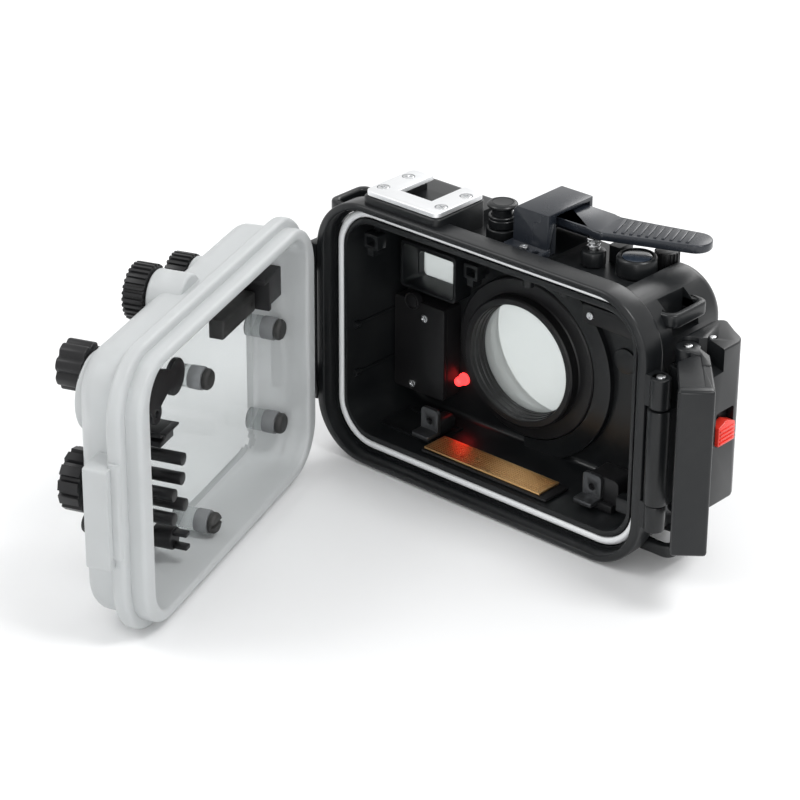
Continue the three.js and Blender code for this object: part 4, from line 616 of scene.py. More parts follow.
def frontBody():
    wall = cavity["depth"]
    front = tub["front"]
    spot = (lens["x"], lens["z"])
    halfWidth = rim["halfWidth"] - tub["wide"]
    halfHeight = rim["halfHeight"] - tub["tall"]
    corner = tub["corner"]
    body = outlineBlock("frontBody", halfWidth, halfHeight,
                        (tub["shoulder"], corner, corner, corner),
                        (rim["depth"] - over, front), 14)
    draft = [1 - tub["draft"] / half for half in (halfWidth, halfHeight)]
    drawInFront(body, (draft[0], 1, draft[1]), (0, front, 0))
    roundEdges(body, tub["nose"], 8, at(front, "y"))
    carve(body, roundedBar("shelf", (-20.2, 51.4), (10.6, 60), (41, 60), "x", 1.2, 4))
    rimBlock = evenBlock("rim", rim, (0, rim["depth"]), 16)
    roundEdges(rimBlock, rim["edge"], 4, across("y"))
    fuse(body, rimBlock)
    shoeBlock = roundedBar("shoeBlock", shoe["x"], shoe["y"], (shoe["base"], 50.1), "z",
                           shoe["radius"], 6)
    roundEdges(shoeBlock, 0.6, 3, at(50.1))
    seat = roundedBar("bracketSeat", (0.5, 16.6), (11, 39.7), (36, 42.3), "z", 1, 3)
    basePad = roundedBar("basePad", (-35, 35), (9.5, 36), (-47.7, -38.9), "z", 5, 6)
    roundEdges(basePad, 0.3, 2, at(-47.7))
    lensBoss = roundRod("lensBoss", "y", spot, (wall, lens["bossFront"]), lens["boss"], 128,
                        0.6, 3, at(lens["bossFront"], "y"))
    bosses = [roundRod(name, "z", (x, y), (37, top), radius, 56, 0.5, 3, at(top))
              for name, (x, y, radius, top, bore) in controls.items()]
    stop = roundedBar("stop", (29.4, 33.8), (31, 38.4), (40, 46.6), "z", 0.6, 2)
    fuse(body, shoeBlock, seat, basePad, lensBoss, stop, *bosses)
    carve(body, *[block("well", *spans) for spans in strapWells])
    arms = [block("arm", (66, latch["at"][0]), (0.2, 5.1), span) for span in bodyKnuckles]
    knuckles = [roundRod("knuckle", "z", latch["at"], span, latch["barrel"], 48, 0.5, 3)
                for span in bodyKnuckles]
    fuse(body, *[strapLoop(name, *facts) for name, facts in strapLoops.items()], *arms, *knuckles)
    recessFacts = {"halfWidth": rim["halfWidth"] - lip["side"],
                   "halfHeight": rim["halfHeight"] - lip["flat"], "radius": lip["radius"]}
    middle = [recessFacts[key] - lip["toGroove"] for key in ("halfWidth", "halfHeight")]
    half = lip["groove"] / 2
    groove = outlineBlock("groove", middle[0] + half, middle[1] + half, (15.9,) * 4, (4, 7.9), 12)
    core = outlineBlock("core", middle[0] - half, middle[1] - half, (12.6,) * 4, (0, 12), 12)
    carve(groove, core)
    hollow = evenBlock("cavity", cavity, (-5, wall), 12)
    roundEdges(hollow, cavity["fillet"], 4, at(wall, "y"))
    recess = evenBlock("recess", recessFacts, (-5, lip["depth"]), 14)
    carve(body, groove, hollow, recess)
    roundEdges(body, 0.5, 3, lambda middle, way: abs(middle.y) < 0.01 and abs(way.y) < 0.5)
    roundEdges(body, 0.4, 2, lambda middle, way: (
        abs(middle.y - lip["depth"]) < 0.01 and abs(middle.x) < cavity["halfWidth"] + 0.1
        and abs(middle.z) < cavity["halfHeight"] + 0.1))
    slotTop = shoe["top"] - shoe["plate"]
    reach = shoe["slotReach"]
    grown = window["rebate"]
    holes = [
        rod("lensBore", "y", spot, (30, 60), lens["bore"], 128),
        rod("lensSeat", "y", spot, (lens["seatRear"], 60), lens["seat"], 128),
        roundedBar("windowHole", window["x"], (30, 60), window["z"], "y", window["radius"], 4),
        roundedBar("windowSeat", (window["x"][0] - grown, window["x"][1] + grown),
                   (window["rear"], 60), (window["z"][0] - grown, window["z"][1] + grown), "y",
                   window["radius"], 4),
        block("shoeSlot", (shoe["notchX"][0] - reach, shoe["notchX"][1] + reach),
              (shoe["notchRear"] - reach, 40), (slotTop - shoe["slot"], 60)),
        rod("insertHole", "z", (lens["x"], 31), (-50, -42.4), 5.1, 40),
        rod("latchBore", "z", latch["at"], (-40, 40), 1.8, 24),
        *[rod("bore", "z", (x, y), (30, 60), bore, 24)
          for x, y, radius, top, bore in controls.values()],
        *[rod("screwHole", "z", (x, y), (46, 60), 1.2, 16)
          for x in shoe["screwX"] for y in shoe["screwY"]],
    ]
    carve(body, *holes)
    gather(body, ringPlate(), *insideDetails())
    dress(body, "satinBlack", "body_black", "front_body")


frontBody()
print("front body is made")


def bodySeal():
    facts = {"halfWidth": 62.75, "halfHeight": 42.35, "radius": 14.25, "y": 6.45,
             "thickness": 1.35}
    pickNone()
    bpy.ops.mesh.primitive_plane_add(size=2, location=(0, facts["y"], 0), rotation=layRod["y"])
    seal = bpy.context.active_object
    seal.scale = (facts["halfWidth"], facts["halfHeight"], 1)
    seal = fresh("bodySeal")
    bpy.ops.object.mode_set(mode="EDIT")
    bpy.ops.mesh.select_all(action="SELECT")
    bpy.ops.mesh.bevel(offset=facts["radius"], segments=14, affect="VERTICES", clamp_overlap=False)
    bpy.ops.mesh.select_all(action="SELECT")
    bpy.ops.mesh.delete(type="ONLY_FACE")
    bpy.ops.object.mode_set(mode="OBJECT")
    bpy.ops.object.convert(target="CURVE")
    seal = bpy.context.active_object
    seal.data.bevel_depth = facts["thickness"]
    seal.data.bevel_resolution = 4
    bpy.ops.object.convert(target="MESH")
    seal = bpy.context.active_object
    dress(seal, "sealWhite", "seal_white", "body_seal")


bodySeal()
print("seal is made")


# Rear cover: frosted frame, clear panel, posts and what turns or presses in it

cover = {
    "flange": (-5.1, -0.3), "flangeEdge": 1.5,
    "plug": {"halfWidth": 65, "halfHeight": 44.6, "radius": 16.5, "front": 4.9, "edge": 1.7},
    "tub": {"halfWidth": 61.7, "halfHeight": 44.4, "radius": 14, "rear": -18.4, "edge": 5.5},
    "hollow": {"halfWidth": 58.4, "halfHeight": 41.1, "radius": 10.7, "floor": -14.7, "edge": 1.6},
}
camAt = (45, 34)
camBossAt = (46.5, 27.5)
wheelsAt = ((1.5, 40), (-26, 33))
jogAt = (51.5, -1)
forkAt = (23, -32.6)
pressAt = ((25.2, -2.6), (22.2, -11.3), (30.2, -13.1), (24.8, -18.8), (31.8, -20.6), (48.5, -17.4))
pressTips = (-1, -3, -2, -1, -1.5, -4)
cushionAt = ((-54.6, 6.2), (-54.6, -28.4), (-3.3, 11), (3.4, -36.2))
cushionEnds = ((-5, -2.4), (-5, -2.4), (-7, -4.5), (-3, -0.2))  # post end, rubber end


def rearCover():
    plug, shell, hollow = (cover[key] for key in ("plug", "tub", "hollow"))
    body = evenBlock("rearCover", rim, cover["flange"], 16)
    roundEdges(body, cover["flangeEdge"], 4, across("y"))
    ridge = evenBlock("ridge", plug, (-2, plug["front"]), 14)
    roundEdges(ridge, plug["edge"], 5, at(plug["front"], "y"))
    back = evenBlock("back", shell, (shell["rear"], -2), 14)
    roundEdges(back, shell["edge"], 6, at(shell["rear"], "y"))
    camBoss = roundRod("camBoss", "y", camBossAt, (-20.2, -15.7), 12.5, 72, 0.9, 4, at(-20.2, "y"))
    wheelBosses = [roundRod("wheelBoss", "y", spot, (-20.6, -8.6), 8.2, 56, 1, 3)
                   for spot in wheelsAt]
    catch = roundedBar("catchPad", (60.5, 72.6), (-11.4, -3.1), (-18.4, 15.6), "y", 1.2, 4)
    roundEdges(catch, 0.7, 3, at(-11.4, "y"))
    step = roundedBar("catchStep", (60.5, 70.3), (-4.1, -0.6), (-15, 16.8), "z", 0.8, 3)
    knuckle = rod("knuckle", "z", hinge["at"], (-18.6, 16.6), hinge["knuckle"], 48)
    root = block("root", (-73, -61.2), (-9.9, -4.1), (-18.6, 16.6))
    fuse(body, ridge, back, camBoss, *wheelBosses, catch, step, knuckle, root)
    room = evenBlock("room", hollow, (hollow["floor"], 12), 12)
    roundEdges(room, hollow["edge"], 4, at(hollow["floor"], "y"))
    bores = [rod("bore", "y", spot, (-40, -12), radius, 24) for spot, radius in
             [(camAt, 2.75), (jogAt, 2.55), (forkAt, 1.95), *((spot, 1.55) for spot in pressAt),
              *((spot, 1.95) for spot in wheelsAt)]]
    pockets = [rod("pocket", "y", spot, (-12.2, -9.6), 4.6, 32) for spot in wheelsAt]
    carve(body, room, rod("hingeBore", "z", hinge["at"], (-40, 40), hinge["bore"], 24), *bores,
          *pockets)
    roundEdges(body, 1.1, 4, at(plug["front"], "y"))
    paint(body, "frosted")
    paint(body, "clearPanel")
    wide = hollow["halfWidth"] + 0.2
    tall = hollow["halfHeight"] + 0.2
    for face in body.data.polygons:
        x, y, z = face.center
        if y < -12 and abs(x) < wide - 2.5 and abs(z) < tall - 2.5 and abs(face.normal.y) > 0.5:
            face.material_index = 1
    dressCover(body, "frosted", "cover_clear", "rear_cover")
    for i, ((x, z), (postEnd, tip)) in enumerate(zip(cushionAt, cushionEnds)):
        post = rod("cushionPost", "y", (x, z), (-15.5, postEnd - 4.4), 3.7, 40)
        paint(post, "clearPanel")
        cap = roundRod("cap", "y", (x, z), (postEnd - 4.6, postEnd), 3.9, 40, 0.4)
        paint(cap, "smokedPost")
        post = gather(post, cap)
        post.name = f"cushionPost{i + 1}"
        dressCover(post, "smokedPost", "cover_clear")


def cushions():
    for i, ((x, z), (postEnd, tip)) in enumerate(zip(cushionAt, cushionEnds)):
        pad = turned(f"cushion{i + 1}", "y", (x, z), [
            (0, postEnd + 0.3), (3.5, postEnd + 0.3), (3.5, tip - 0.9), (2.9, tip - 0.15),
            (2.6, tip), (0, tip)], 48)
        if i == 3:
            carve(pad, block("slot", (x - 5, x + 5), (tip - 1.2, tip + 1), (z - 0.55, z + 0.55)))
        roundEdges(pad, 0.25, 2)
        dressCover(pad, "rubberBlack", "rubber_black", f"cushion_{i + 1}")


def insideCoverParts():
    bracket = prism("fingerBracket", "y", [
        (-57.9, 17.3), (-50, 17.3), (-50, 15.4), (-48, 15.4), (-48, 25.9), (-44.7, 25.9),
        (-44.7, 27.7), (-57.9, 27.7)], (-14.4, -4.4))
    roundEdges(bracket, 0.35, 2)
    dressCover(bracket, "mouldedBlack", "part_black", "finger_bracket")
    rail = block("railBar", (-47.6, -22.9), (-14.4, -9), (15.2, 22))
    roundEdges(rail, 0.8, 2, at(-9, "y"))
    roundEdges(rail, 0.25, 2)
    screws = [rod("screw", "y", (x, 18.6), (-9.3, -9), 0.9, 20) for x in (-44.5, -26)]
    dressCover(gather(rail, *screws), "rubberBlack", "rubber_black", "rail_bar")
    selector = block("selectorBlock", (20.4, 29.6), (-14.4, -6.6), (2.2, 7.4))
    carve(selector, block("notch", (27.2, 31), (-16, -4), (4.2, 5.4)))
    roundEdges(selector, 0.3, 2)
    blade = block("blade", (20.4, 29.6), (-7, -4.6), (6.6, 7.4))
    roundEdges(blade, 0.2, 2)
    dressCover(gather(selector, blade), "mouldedBlack", "part_black", "selector_block")


def onRound(spot, reach, angle):
    return spot[0] + reach * math.cos(angle), spot[1] + reach * math.sin(angle)


def scallopedOutline(spot, radius, depth, lobes, sharpness, steps):
    points = []
    for i in range(lobes * steps):
        angle = 2 * math.pi * i / (lobes * steps)
        dip = (0.5 + 0.5 * math.cos(lobes * angle)) ** sharpness
        points.append(onRound(spot, radius - depth * dip, angle))
    return points


def toothedOutline(spot, radius, depth, teeth, flat=0.42, slope=0.12):
    points = []
    for i in range(teeth):
        for share, level in ((0, 1), (slope, 0), (slope + flat, 0), (2 * slope + flat, 1)):
            points.append(onRound(spot, radius - depth * level, 2 * math.pi * (i + share) / teeth))
    return points


def camKnob():
    knob = prism("camKnob", "y", scallopedOutline(camAt, 7.8, 1.1, 8, 3.0, 12), (-29.5, -20.8))
    carve(knob, rod("dish", "y", camAt, (-32, -29.1), 4.9, 48))
    roundEdges(knob, 0.45, 3, across("y", 0.3))
    shaft = rod("shaft", "y", camAt, (-22, -6.4), 2.4, 32)
    roundEdges(shaft, 0.3, 2)
    coverControl("cam_knob", knob, shaft)


def armStrip(start, end, width, span):
    reach = math.hypot(end[0] - start[0], end[1] - start[1])
    strip = block("strip", (0, reach), span, (-width / 2, width / 2))
    strip.data.transform(
        Matrix.Translation((start[0], 0, start[1]))
        @ Matrix.Rotation(-math.atan2(end[1] - start[1], end[0] - start[0]), 4, "Y"))
    return strip


def swingArm():
    span = (-9.6, -8)
    disc, lug = (14.2, 19.4), (28.4, 13)
    arm = rod("swingArm", "y", camAt, span, 4.2, 48)
    web = prism("web", "y", [camAt, disc, lug], span)
    fuse(arm, web, armStrip(camAt, disc, 4.4, span), armStrip(camAt, lug, 4.4, span),
         rod("disc", "y", disc, span, 6, 56), rod("lug", "y", lug, span, 3.4, 40))
    carve(arm, rod("bore", "y", camAt, (-12, -6), 2.7, 32),
          rod("hole", "y", lug, (-12, -6), 1.3, 24))
    roundEdges(arm, 0.25, 2)
    dressCover(arm, "mouldedBlack", "part_black", "swing_arm", body="cam_knob")


def topWheels():
    for i, (spot, radius, teeth) in enumerate(zip(wheelsAt, (9.3, 8.6), (28, 26))):
        wheel = prism(f"topWheel{i + 1}", "y", toothedOutline(spot, radius, 0.75, teeth),
                      (-28, -21))
        carve(wheel, rod("dish", "y", spot, (-31, -27.5), radius - 2.4, 56))
        roundEdges(wheel, 0.22, 2, across("y", 0.3))
        shaft = rod("shaft", "y", spot, (-21.4, -11), 1.6, 28)
        plate = roundRod("plate", "y", spot, (-11.8, -10), 3.9, 40, 0.3)
        coverControl(f"top_wheel_{i + 1}", wheel, shaft, plate)


def jogDial():
    dial = prism("jogDial", "y", toothedOutline(jogAt, 9.8, 1.1, 12, 0.6, 0.1), (-26, -19.2))
    carve(dial, rod("dish", "y", jogAt, (-29, -25.4), 6.6, 56))
    roundEdges(dial, 0.25, 2, across("y", 0.3))
    shaft = rod("shaft", "y", jogAt, (-20, -12), 2.2, 32)
    disc = roundRod("disc", "y", jogAt, (-12.6, -10.6), 5, 48, 0.3)
    prongs = [roundRod("prong", "y", (jogAt[0], jogAt[1] + side * 3.2), (-11, -5), 1.5, 28, 0.3)
              for side in (-1, 1)]
    coverControl("jog_dial", dial, shaft, disc, *prongs)


def forkKnob():
    knob = prism("forkKnob", "y", scallopedOutline(forkAt, 4.6, 0.5, 10, 1.0, 8), (-24, -19))
    roundEdges(knob, 0.4, 2, at(-24, "y"))
    shaft = rod("shaft", "y", forkAt, (-19.6, -12), 1.6, 28)
    middlePart = roundRod("middle", "y", forkAt, (-12.8, -6), 3.8, 40, 0.35)
    prongs = []
    for side in (-1, 1):
        z = forkAt[1] + side * 2.3
        prong = roundedBar("prong", (forkAt[0] - 1.5, forkAt[0] + 1.5), (-7, -1.4),
                           (z - 0.65, z + 0.65), "z", 0.4, 2)
        prongs.append(roundEdges(prong, 0.2, 2))
    coverControl("fork_knob", knob, shaft, middlePart, *prongs)


def pressButtons():
    for i, (spot, tip) in enumerate(zip(pressAt, pressTips)):
        cap = turned(f"pressButton{i + 1}", "y", spot, [
            (0, -24), (2.2, -23.95), (2.9, -23.7), (3.2, -23.2), (3.2, -20.1), (0, -20.1)], 48)
        shaft = rod("shaft", "y", spot, (-21.1, tip - 3), 1.2, 28)
        rodEnd = roundRod("rodEnd", "y", spot, (-14.1, tip), 2.1, 32, 0.3)
        coverControl(f"press_button_{i + 1}", cap, shaft, rodEnd)


for make in (rearCover, cushions, insideCoverParts, camKnob, swingArm, topWheels, jogDial,
             forkKnob, pressButtons):
    make()
print("rear cover is made")


def keepNode(name, look):
    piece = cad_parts[name]
    piece.data.materials.clear()
    paint(piece, look)


# A cross cut in a screw's head that faces along the axis
def screwHead(name, axis, spot, span, radius, faceLevel, turnDegrees=20):
    head = roundRod(name, axis, spot, span, radius, 32, min(0.25, radius / 6), 2)
    cuts = [block("cut", (-radius * 0.62, radius * 0.62), (-0.24, 0.24), (-0.35, 0.35)),
            block("cut", (-0.24, 0.24), (-radius * 0.62, radius * 0.62), (-0.35, 0.35))]
    for cut in cuts:
        turnPiece(cut, turnDegrees, "Z")
        if axis == "y":
            turnPiece(cut, 90, "X")
        cut.data.transform(Matrix.Translation(withAxis(axis, spot, faceLevel)))
    return carve(head, *cuts)


def pin(name, axis, spot, span, radius, node, sides=32, edge=0.3, body="housing"):
    return dress(roundRod(name, axis, spot, span, radius, sides, edge), "steel", "steel", node,
                 body)


# Lens port, window and insert

def lensPort():
    spot = (lens["x"], lens["z"])
    dress(turned("lensCollar", "y", spot, [
        (19.5, 36.7), (19.5, 35.6), (19.75, 35.3), (19.75, 34.1), (20.05, 33.8), (20.05, 32.2),
        (20.4, 31.9), (20.4, 30.5), (20.7, 30.1), (22.5, 30.1), (23, 30.6), (23, 33.9),
        (23.4, 34.3), (28.1, 34.3), (28.5, 34.7), (28.5, 36.4), (28.2, 36.7)], 128),
        "mouldedBlack", "part_black", "lens_collar")
    dress(turned("portGlass", "y", spot, [
        (0, 37.3), (22.1, 37.3), (22.5, 37.7), (22.5, 39.7), (22.1, 40.1), (0, 40.1)], 96),
        "portGlass", "clear_glass", "port_glass")
    thread = []
    for i in range(5):
        level = 52 - i * 0.66
        thread += [(26, level), (26.3, level - 0.22), (26.3, level - 0.34), (26, level - 0.56)]
    dress(turned("frontPort", "y", spot, [
        (20.5, 41.6), (26.7, 41.6), (26.7, 44.3), (29, 44.3), (29.4, 44.7), (29.4, 45.6),
        (28.9, 45.9), (28.9, 46.5), (29.4, 46.8), (29.4, 51.3), (28.9, 51.9), (28.4, 52.3),
        (26.3, 52.3), *thread, (26, 48.7), (24.6, 48.7)], 128),
        "mouldedBlack", "part_black", "front_port")
    keepNode("port_seal", "rubberBlack")
    pane = roundedBar("flashWindow", (-56.1, -37.4), (40, 42), (7.4, 18.2), "y", 1.5, 5)
    roundEdges(pane, 0.3, 2)
    dress(pane, "portGlass", "clear_glass", "flash_window")
    dress(turned("tripodInsert", "z", (lens["x"], 31), [
        (3.1, -47.3), (3.4, -47.6), (4.6, -47.6), (4.8, -47.4), (4.8, -42.9), (4.6, -42.7),
        (3.1, -42.7), (3.1, -43.6), (3.3, -43.9), (3.1, -44.2), (3.1, -44.9), (3.3, -45.2),
        (3.1, -45.5), (3.1, -46.1), (3.3, -46.4), (3.1, -46.7)], 56),
        "steel", "steel", "tripod_insert")


# Leak alarm

def leakAlarm():
    x, z = (-58.8, -36.5), (-30.4, 3.5)
    box = roundedBar("batteryBox", x, (30, 36.7), z, "y", 1, 3)
    dress(roundEdges(box, 0.35, 2, at(30, "y")), "mouldedBlack", "part_black",
          "battery_box")
    lid = roundedBar("batteryLid", x, (28.3, 29.7), z, "y", 1, 3)
    roundEdges(lid, 0.3, 2, at(28.3, "y"))
    capAt = (-50.4, 3.5)
    cap = rod("cap", "y", capAt, (27.3, 29.7), 3.1, 48)
    carve(cap, turned("ring", "y", capAt, [(2.3, 27), (2.6, 27), (2.6, 27.7), (2.3, 27.7)], 48))
    roundEdges(cap, 0.25, 2, at(27.3, "y"))
    screws = [screwHead("screw", "y", spot, (27.8, 28.6), 1.5, 27.8)
              for spot in ((-45.2, -1.7), (-50.4, -27.8))]
    for screw in screws:
        paint(screw, "steel")
    paint(lid, "mouldedBlack")
    paint(cap, "mouldedBlack")
    dress(gather(lid, cap, *screws), "mouldedBlack", "part_black", "battery_lid")
    dress(turned("leakLamp", "y", (-34, -23.7), [
        (0, 32.1), (0.8, 32.2), (1.4, 32.7), (1.7, 33.5), (1.7, 35.8), (2.2, 35.9), (2.2, 36.6),
        (2, 36.7), (0, 36.7)], 32), "lampRed", "lamp_red", "leak_lamp")
    board = block("sensorBoard", (-27.9, 25.7), (7.3, 19.2), (-38.3, -37.2))
    roundEdges(board, 0.3, 2)
    dress(board, "mouldedBlack", "part_black", "sensor_board")
    plate = block("sensorPlate", (-27.2, 22.5), (8, 18.5), (-36.9, -36.3))
    lines = [block("line", (-26.4, 21.7), (8.95 + i, 9.2 + i), (-36.5, -36)) for i in range(9)]
    carve(plate, *lines)
    roundEdges(plate, 0.12, 2, along("z"))
    dots = [rod("dot", "z", (dotX, dotY), (-36.5, -36.3), 0.8, 20)
            for dotX, dotY in ((-13, 11), (-8.2, 13), (-6, 8.7), (0, 8.9))]
    dress(gather(plate, *dots), "copper", "copper", "sensor_plate")


def cameraRest(name, x, width, height, shift, node):
    floor, half = -38.3, 3.8
    bottom = floor + 1.8
    foot = roundedBar(name, (x - half, x + half), (11.4, 18), (bottom, bottom + 1.6), "z", 0.8, 3)
    tab = roundedBar("tab", (x - half, x + half), (16.4, 18), (bottom, bottom + 9.4), "y", 1.6, 5)
    fuse(foot, tab)
    carve(foot, rod("hole", "y", (x, bottom + 4.7), (10, 20), 1.25, 24))
    roundEdges(foot, 0.22, 2)
    middle = x + shift
    support = roundedBar("support", (middle - width / 2, middle + width / 2), (17.7, 27),
                         (floor, floor + height), "y", 2.2, 5)
    roundEdges(support, 0.3, 2)
    step = block("step", (middle - width / 2 + 0.9, middle + width / 2 - 0.9), (15.5, 18),
                 (floor, bottom + 0.8))
    paint(foot, "restSteel")
    for part in (support, roundEdges(step, 0.2, 2)):
        paint(part, "mouldedBlack")
    dress(gather(foot, support, step), "mouldedBlack", "part_black", node)


def innerArm():
    arm = block("innerArm", (21, 55), (29.5, 31.5), (17.6, 24.2))
    roundEdges(arm, 0.3, 2)
    paint(arm, "mouldedBlack")
    head = screwHead("head", "y", (24.6, 20.9), (28.5, 29.8), 1.3, 28.5)
    paint(head, "steel")
    dress(gather(arm, head), "mouldedBlack", "part_black", "inner_arm")


# Accessory shoe and the controls on top

def shoePlate():
    plate = roundedBar("shoePlate", (-49.7, -18.4), (2.9, 27), (50.4, 52), "z", 2.5, 6)
    carve(plate, block("notch", shoe["notchX"], (shoe["notchRear"], 30), (49, 54)))
    roundEdges(plate, 0.35, 3, lambda middle, way: middle.z > 51.9)
    spots = [(x, y) for x in shoe["screwX"] for y in shoe["screwY"]]
    carve(plate, *[rod("seat", "z", spot, (50.9, 53), 2.2, 32) for spot in spots],
          *[rod("hole", "z", spot, (49, 53), 1.2, 20) for spot in spots])
    dress(plate, "platedSteel", "steel", "shoe_plate")
    for i, spot in enumerate(spots):
        head = screwHead(f"shoeScrew{i + 1}", "z", spot, (51, 52), 1.9, 52, 15 + 25 * i)
        shank = rod("shank", "z", spot, (46.4, 51.4), 0.9, 16)
        dress(gather(head, shank), "steel", "steel", f"shoe_screw_{i + 1}")


def topButton():
    spot = controls["button"][:2]
    dress(turned("buttonGland", "z", spot, [
        (3.75, 45.6), (4.4, 45.6), (4.6, 45.8), (4.6, 48.2), (4.4, 48.4), (4.4, 48.7), (4.6, 48.9),
        (4.6, 49.4), (4.4, 49.6), (3.75, 49.6)], 56), "satinBlack", "part_black",
        "button_gland")
    dress(turned("topButton", "z", spot, [
        (0, 33), (1.3, 33), (1.5, 33.2), (1.5, 48.1), (3.4, 48.1), (3.4, 51.9), (4.6, 52.3),
        (5, 52.7), (5, 53.2), (4.7, 53.6), (4.1, 53.85), (3.6, 53.9), (3.5, 53.7), (3.3, 53.7),
        (3.2, 53.85), (0, 53.7)], 64), "satinBlack", "part_black", "top_button", body="top_button")


leverPinAt = (8.5, 52.4)  # x, z
bracketScrewAt = (8.6, 14)


def shutterBracket():
    side = [(1.5, 42.6), (15.8, 42.6), (15.8, 56.8), (2.9, 56.8), (1.5, 55.4)]
    bracket = prism("shutterBracket", "y", side, (17, 39.7))
    foot = roundedBar("foot", (0.5, 16.6), (11, 18), (42.6, 44.8), "z", 0.7, 3)
    fuse(bracket, foot)
    carve(bracket, block("channel", (3.1, 18), (21.2, 38.1), (41, 55.4)),
          rod("pinHole", "y", leverPinAt, (18.6, 42), 1.4, 24),
          rod("screwHole", "z", bracketScrewAt, (41, 49), 1.2, 20),
          rod("openHole", "z", (13.4, 14), (41, 49), 1.1, 24))
    roundEdges(bracket, 0.3, 2)
    dress(bracket, "levelBlack", "body_black", "shutter_bracket")
    head = screwHead("bracketScrew", "z", bracketScrewAt, (44.9, 45.7), 1.5, 45.7)
    dress(gather(head, rod("shank", "z", bracketScrewAt, (42.6, 45.2), 0.9, 16)), "steel",
          "steel", "bracket_screw")
    pin("leverPin", "y", leverPinAt, (18.9, 39.7), 1.1, "lever_pin", 28, 0.2)


padShape = {"length": 29, "turnDegrees": 19, "at": (29, 30.6, 0)}


def setPad(part):
    turnPiece(part, padShape["turnDegrees"], "Z")
    part.data.transform(Matrix.Translation(padShape["at"]))
    return part


def shutterLever():
    side = [(4.2, 51.4), (26.2, 51.4), (29, 50.8), (31.8, 50.8), (31.8, 53.6), (29, 53.6),
            (26.2, 54.2), (4.2, 54.2)]
    neck = prism("shutterLever", "y", side, (23.4, 37.8))
    tip = padShape["length"]
    quarter = [step * math.pi / 16 for step in range(9)]
    outline = [(0, -7.2), (tip, -5.7),
               *[onRound((tip, -0.3), 5.4, angle - math.pi / 2) for angle in quarter[1:]],
               *[onRound((tip, 0.3), 5.4, angle) for angle in quarter[:-1]], (tip, 5.7), (0, 7.2)]
    pad = prism("pad", "z", outline, (50.8, 53.6))
    setPad(pad)
    fuse(neck, pad, rod("barrel", "y", leverPinAt, (23.4, 37.8), 2.1, 40))
    carve(neck, rod("bore", "y", leverPinAt, (20, 40), 1.45, 24))
    roundEdges(neck, 0.45, 3, lambda middle, way: middle.x > 12)
    paint(neck, "levelBlack")
    ribs = []
    for i in range(10):
        start = 3.6 + i * 2.6
        reach = 5.7 - 1.5 * start / tip
        rib = block("rib", (start, start + 1.1), (-reach, reach), (53.2, 54.05))
        roundEdges(rib, 0.28, 2, lambda middle, way: middle.z > 53.9)
        ribs.append(paint(setPad(rib), "levelBlack"))
    dress(gather(neck, *ribs), "levelBlack", "body_black", "shutter_lever", body="shutter_lever")


def shutterPlunger():
    spot = controls["plunger"][:2]
    dress(turned("shutterGland", "z", spot, [
        (1.75, 41.3), (3.9, 41.3), (4.1, 41.5), (4.1, 45.5), (3.8, 46), (3.4, 46.2), (1.75, 46.2)],
        56), "satinBlack", "part_black", "shutter_gland")
    dress(turned("shutterPlunger", "z", spot, [
        (0, 33), (1.2, 33), (1.4, 33.2), (1.4, 49.8), (2.3, 49.8), (2.5, 49.95), (2.5, 50.35),
        (2.3, 50.5), (0, 50.5)], 40), "steel", "part_black", "shutter_plunger",
        body="shutter_plunger")
    keepNode("shutter_spring", "steel")


def topKnobs():
    spot = controls["knob"][:2]
    dialAt = controls["dial"][:2]
    outer = turned("modeKnob", "z", spot, [
        (0, 33.5), (1.6, 33.5), (1.8, 33.7), (1.8, 41.4), (6.3, 41.4), (6.6, 41.7), (6.6, 46.7),
        (6.3, 47.2), (5.9, 47.45), (5.5, 47.45), (5.3, 47.2), (5.3, 46.9), (0, 46.9)], 72)
    paint(outer, "satinBlack")
    disc = turned("disc", "z", spot, [
        (0, 46.8), (4.7, 46.8), (4.7, 47.2), (4.5, 47.3), (0, 47.3)], 56)
    paint(disc, "blueDisc")
    dress(gather(outer, disc), "satinBlack", "part_black", "mode_knob", body="mode_knob")
    dial = prism("zoomDial", "z", toothedOutline(dialAt, 4.1, 0.5, 18), (41.5, 47))
    roundEdges(dial, 0.2, 2, across("z", 0.3))
    shaft = rod("shaft", "z", dialAt, (35.4, 42), 1.5, 28)
    dress(gather(dial, shaft), "mouldedBlack", "part_black", "zoom_dial", body="zoom_dial")


# Hinge and latch

def hingeParts():
    bracket = block("hingeBracket", (-73.3, -69.3), (0.6, 8.6), (-30, 27.5))
    for span in ((-30, -19), (17, 27.5)):
        fuse(bracket, rod("knuckle", "z", hinge["at"], span, hinge["knuckle"], 48),
             block("arm", (-74.5, -71.5), (-7, 1.6), span))
    carve(bracket, rod("bore", "z", hinge["at"], (-40, 40), hinge["bore"], 24))
    roundEdges(bracket, 0.35, 2)
    dress(bracket, "satinBlack", "body_black", "hinge_bracket")
    pin("hingePin", "z", hinge["at"], (-30.7, 28.2), hinge["pin"], "hinge_pin")
    pin("latchPin", "z", latch["at"], (-28, 25.4), latch["pin"], "latch_pin")


hookPivot = (74.8, 13.4)
hook = {"lobe": 4, "notch": 4.5, "bore": 1.65, "pin": 1.3, "restDegrees": 50, "foldDegrees": 20}
lockPinAt = (77.9, 21.6)


def hookPoints(points, degrees=hook["restDegrees"]):
    angle = math.radians(-degrees)
    c, s = math.cos(angle), math.sin(angle)
    return [(hookPivot[0] + a * c - b * s, hookPivot[1] + a * s + b * c) for a, b in points]


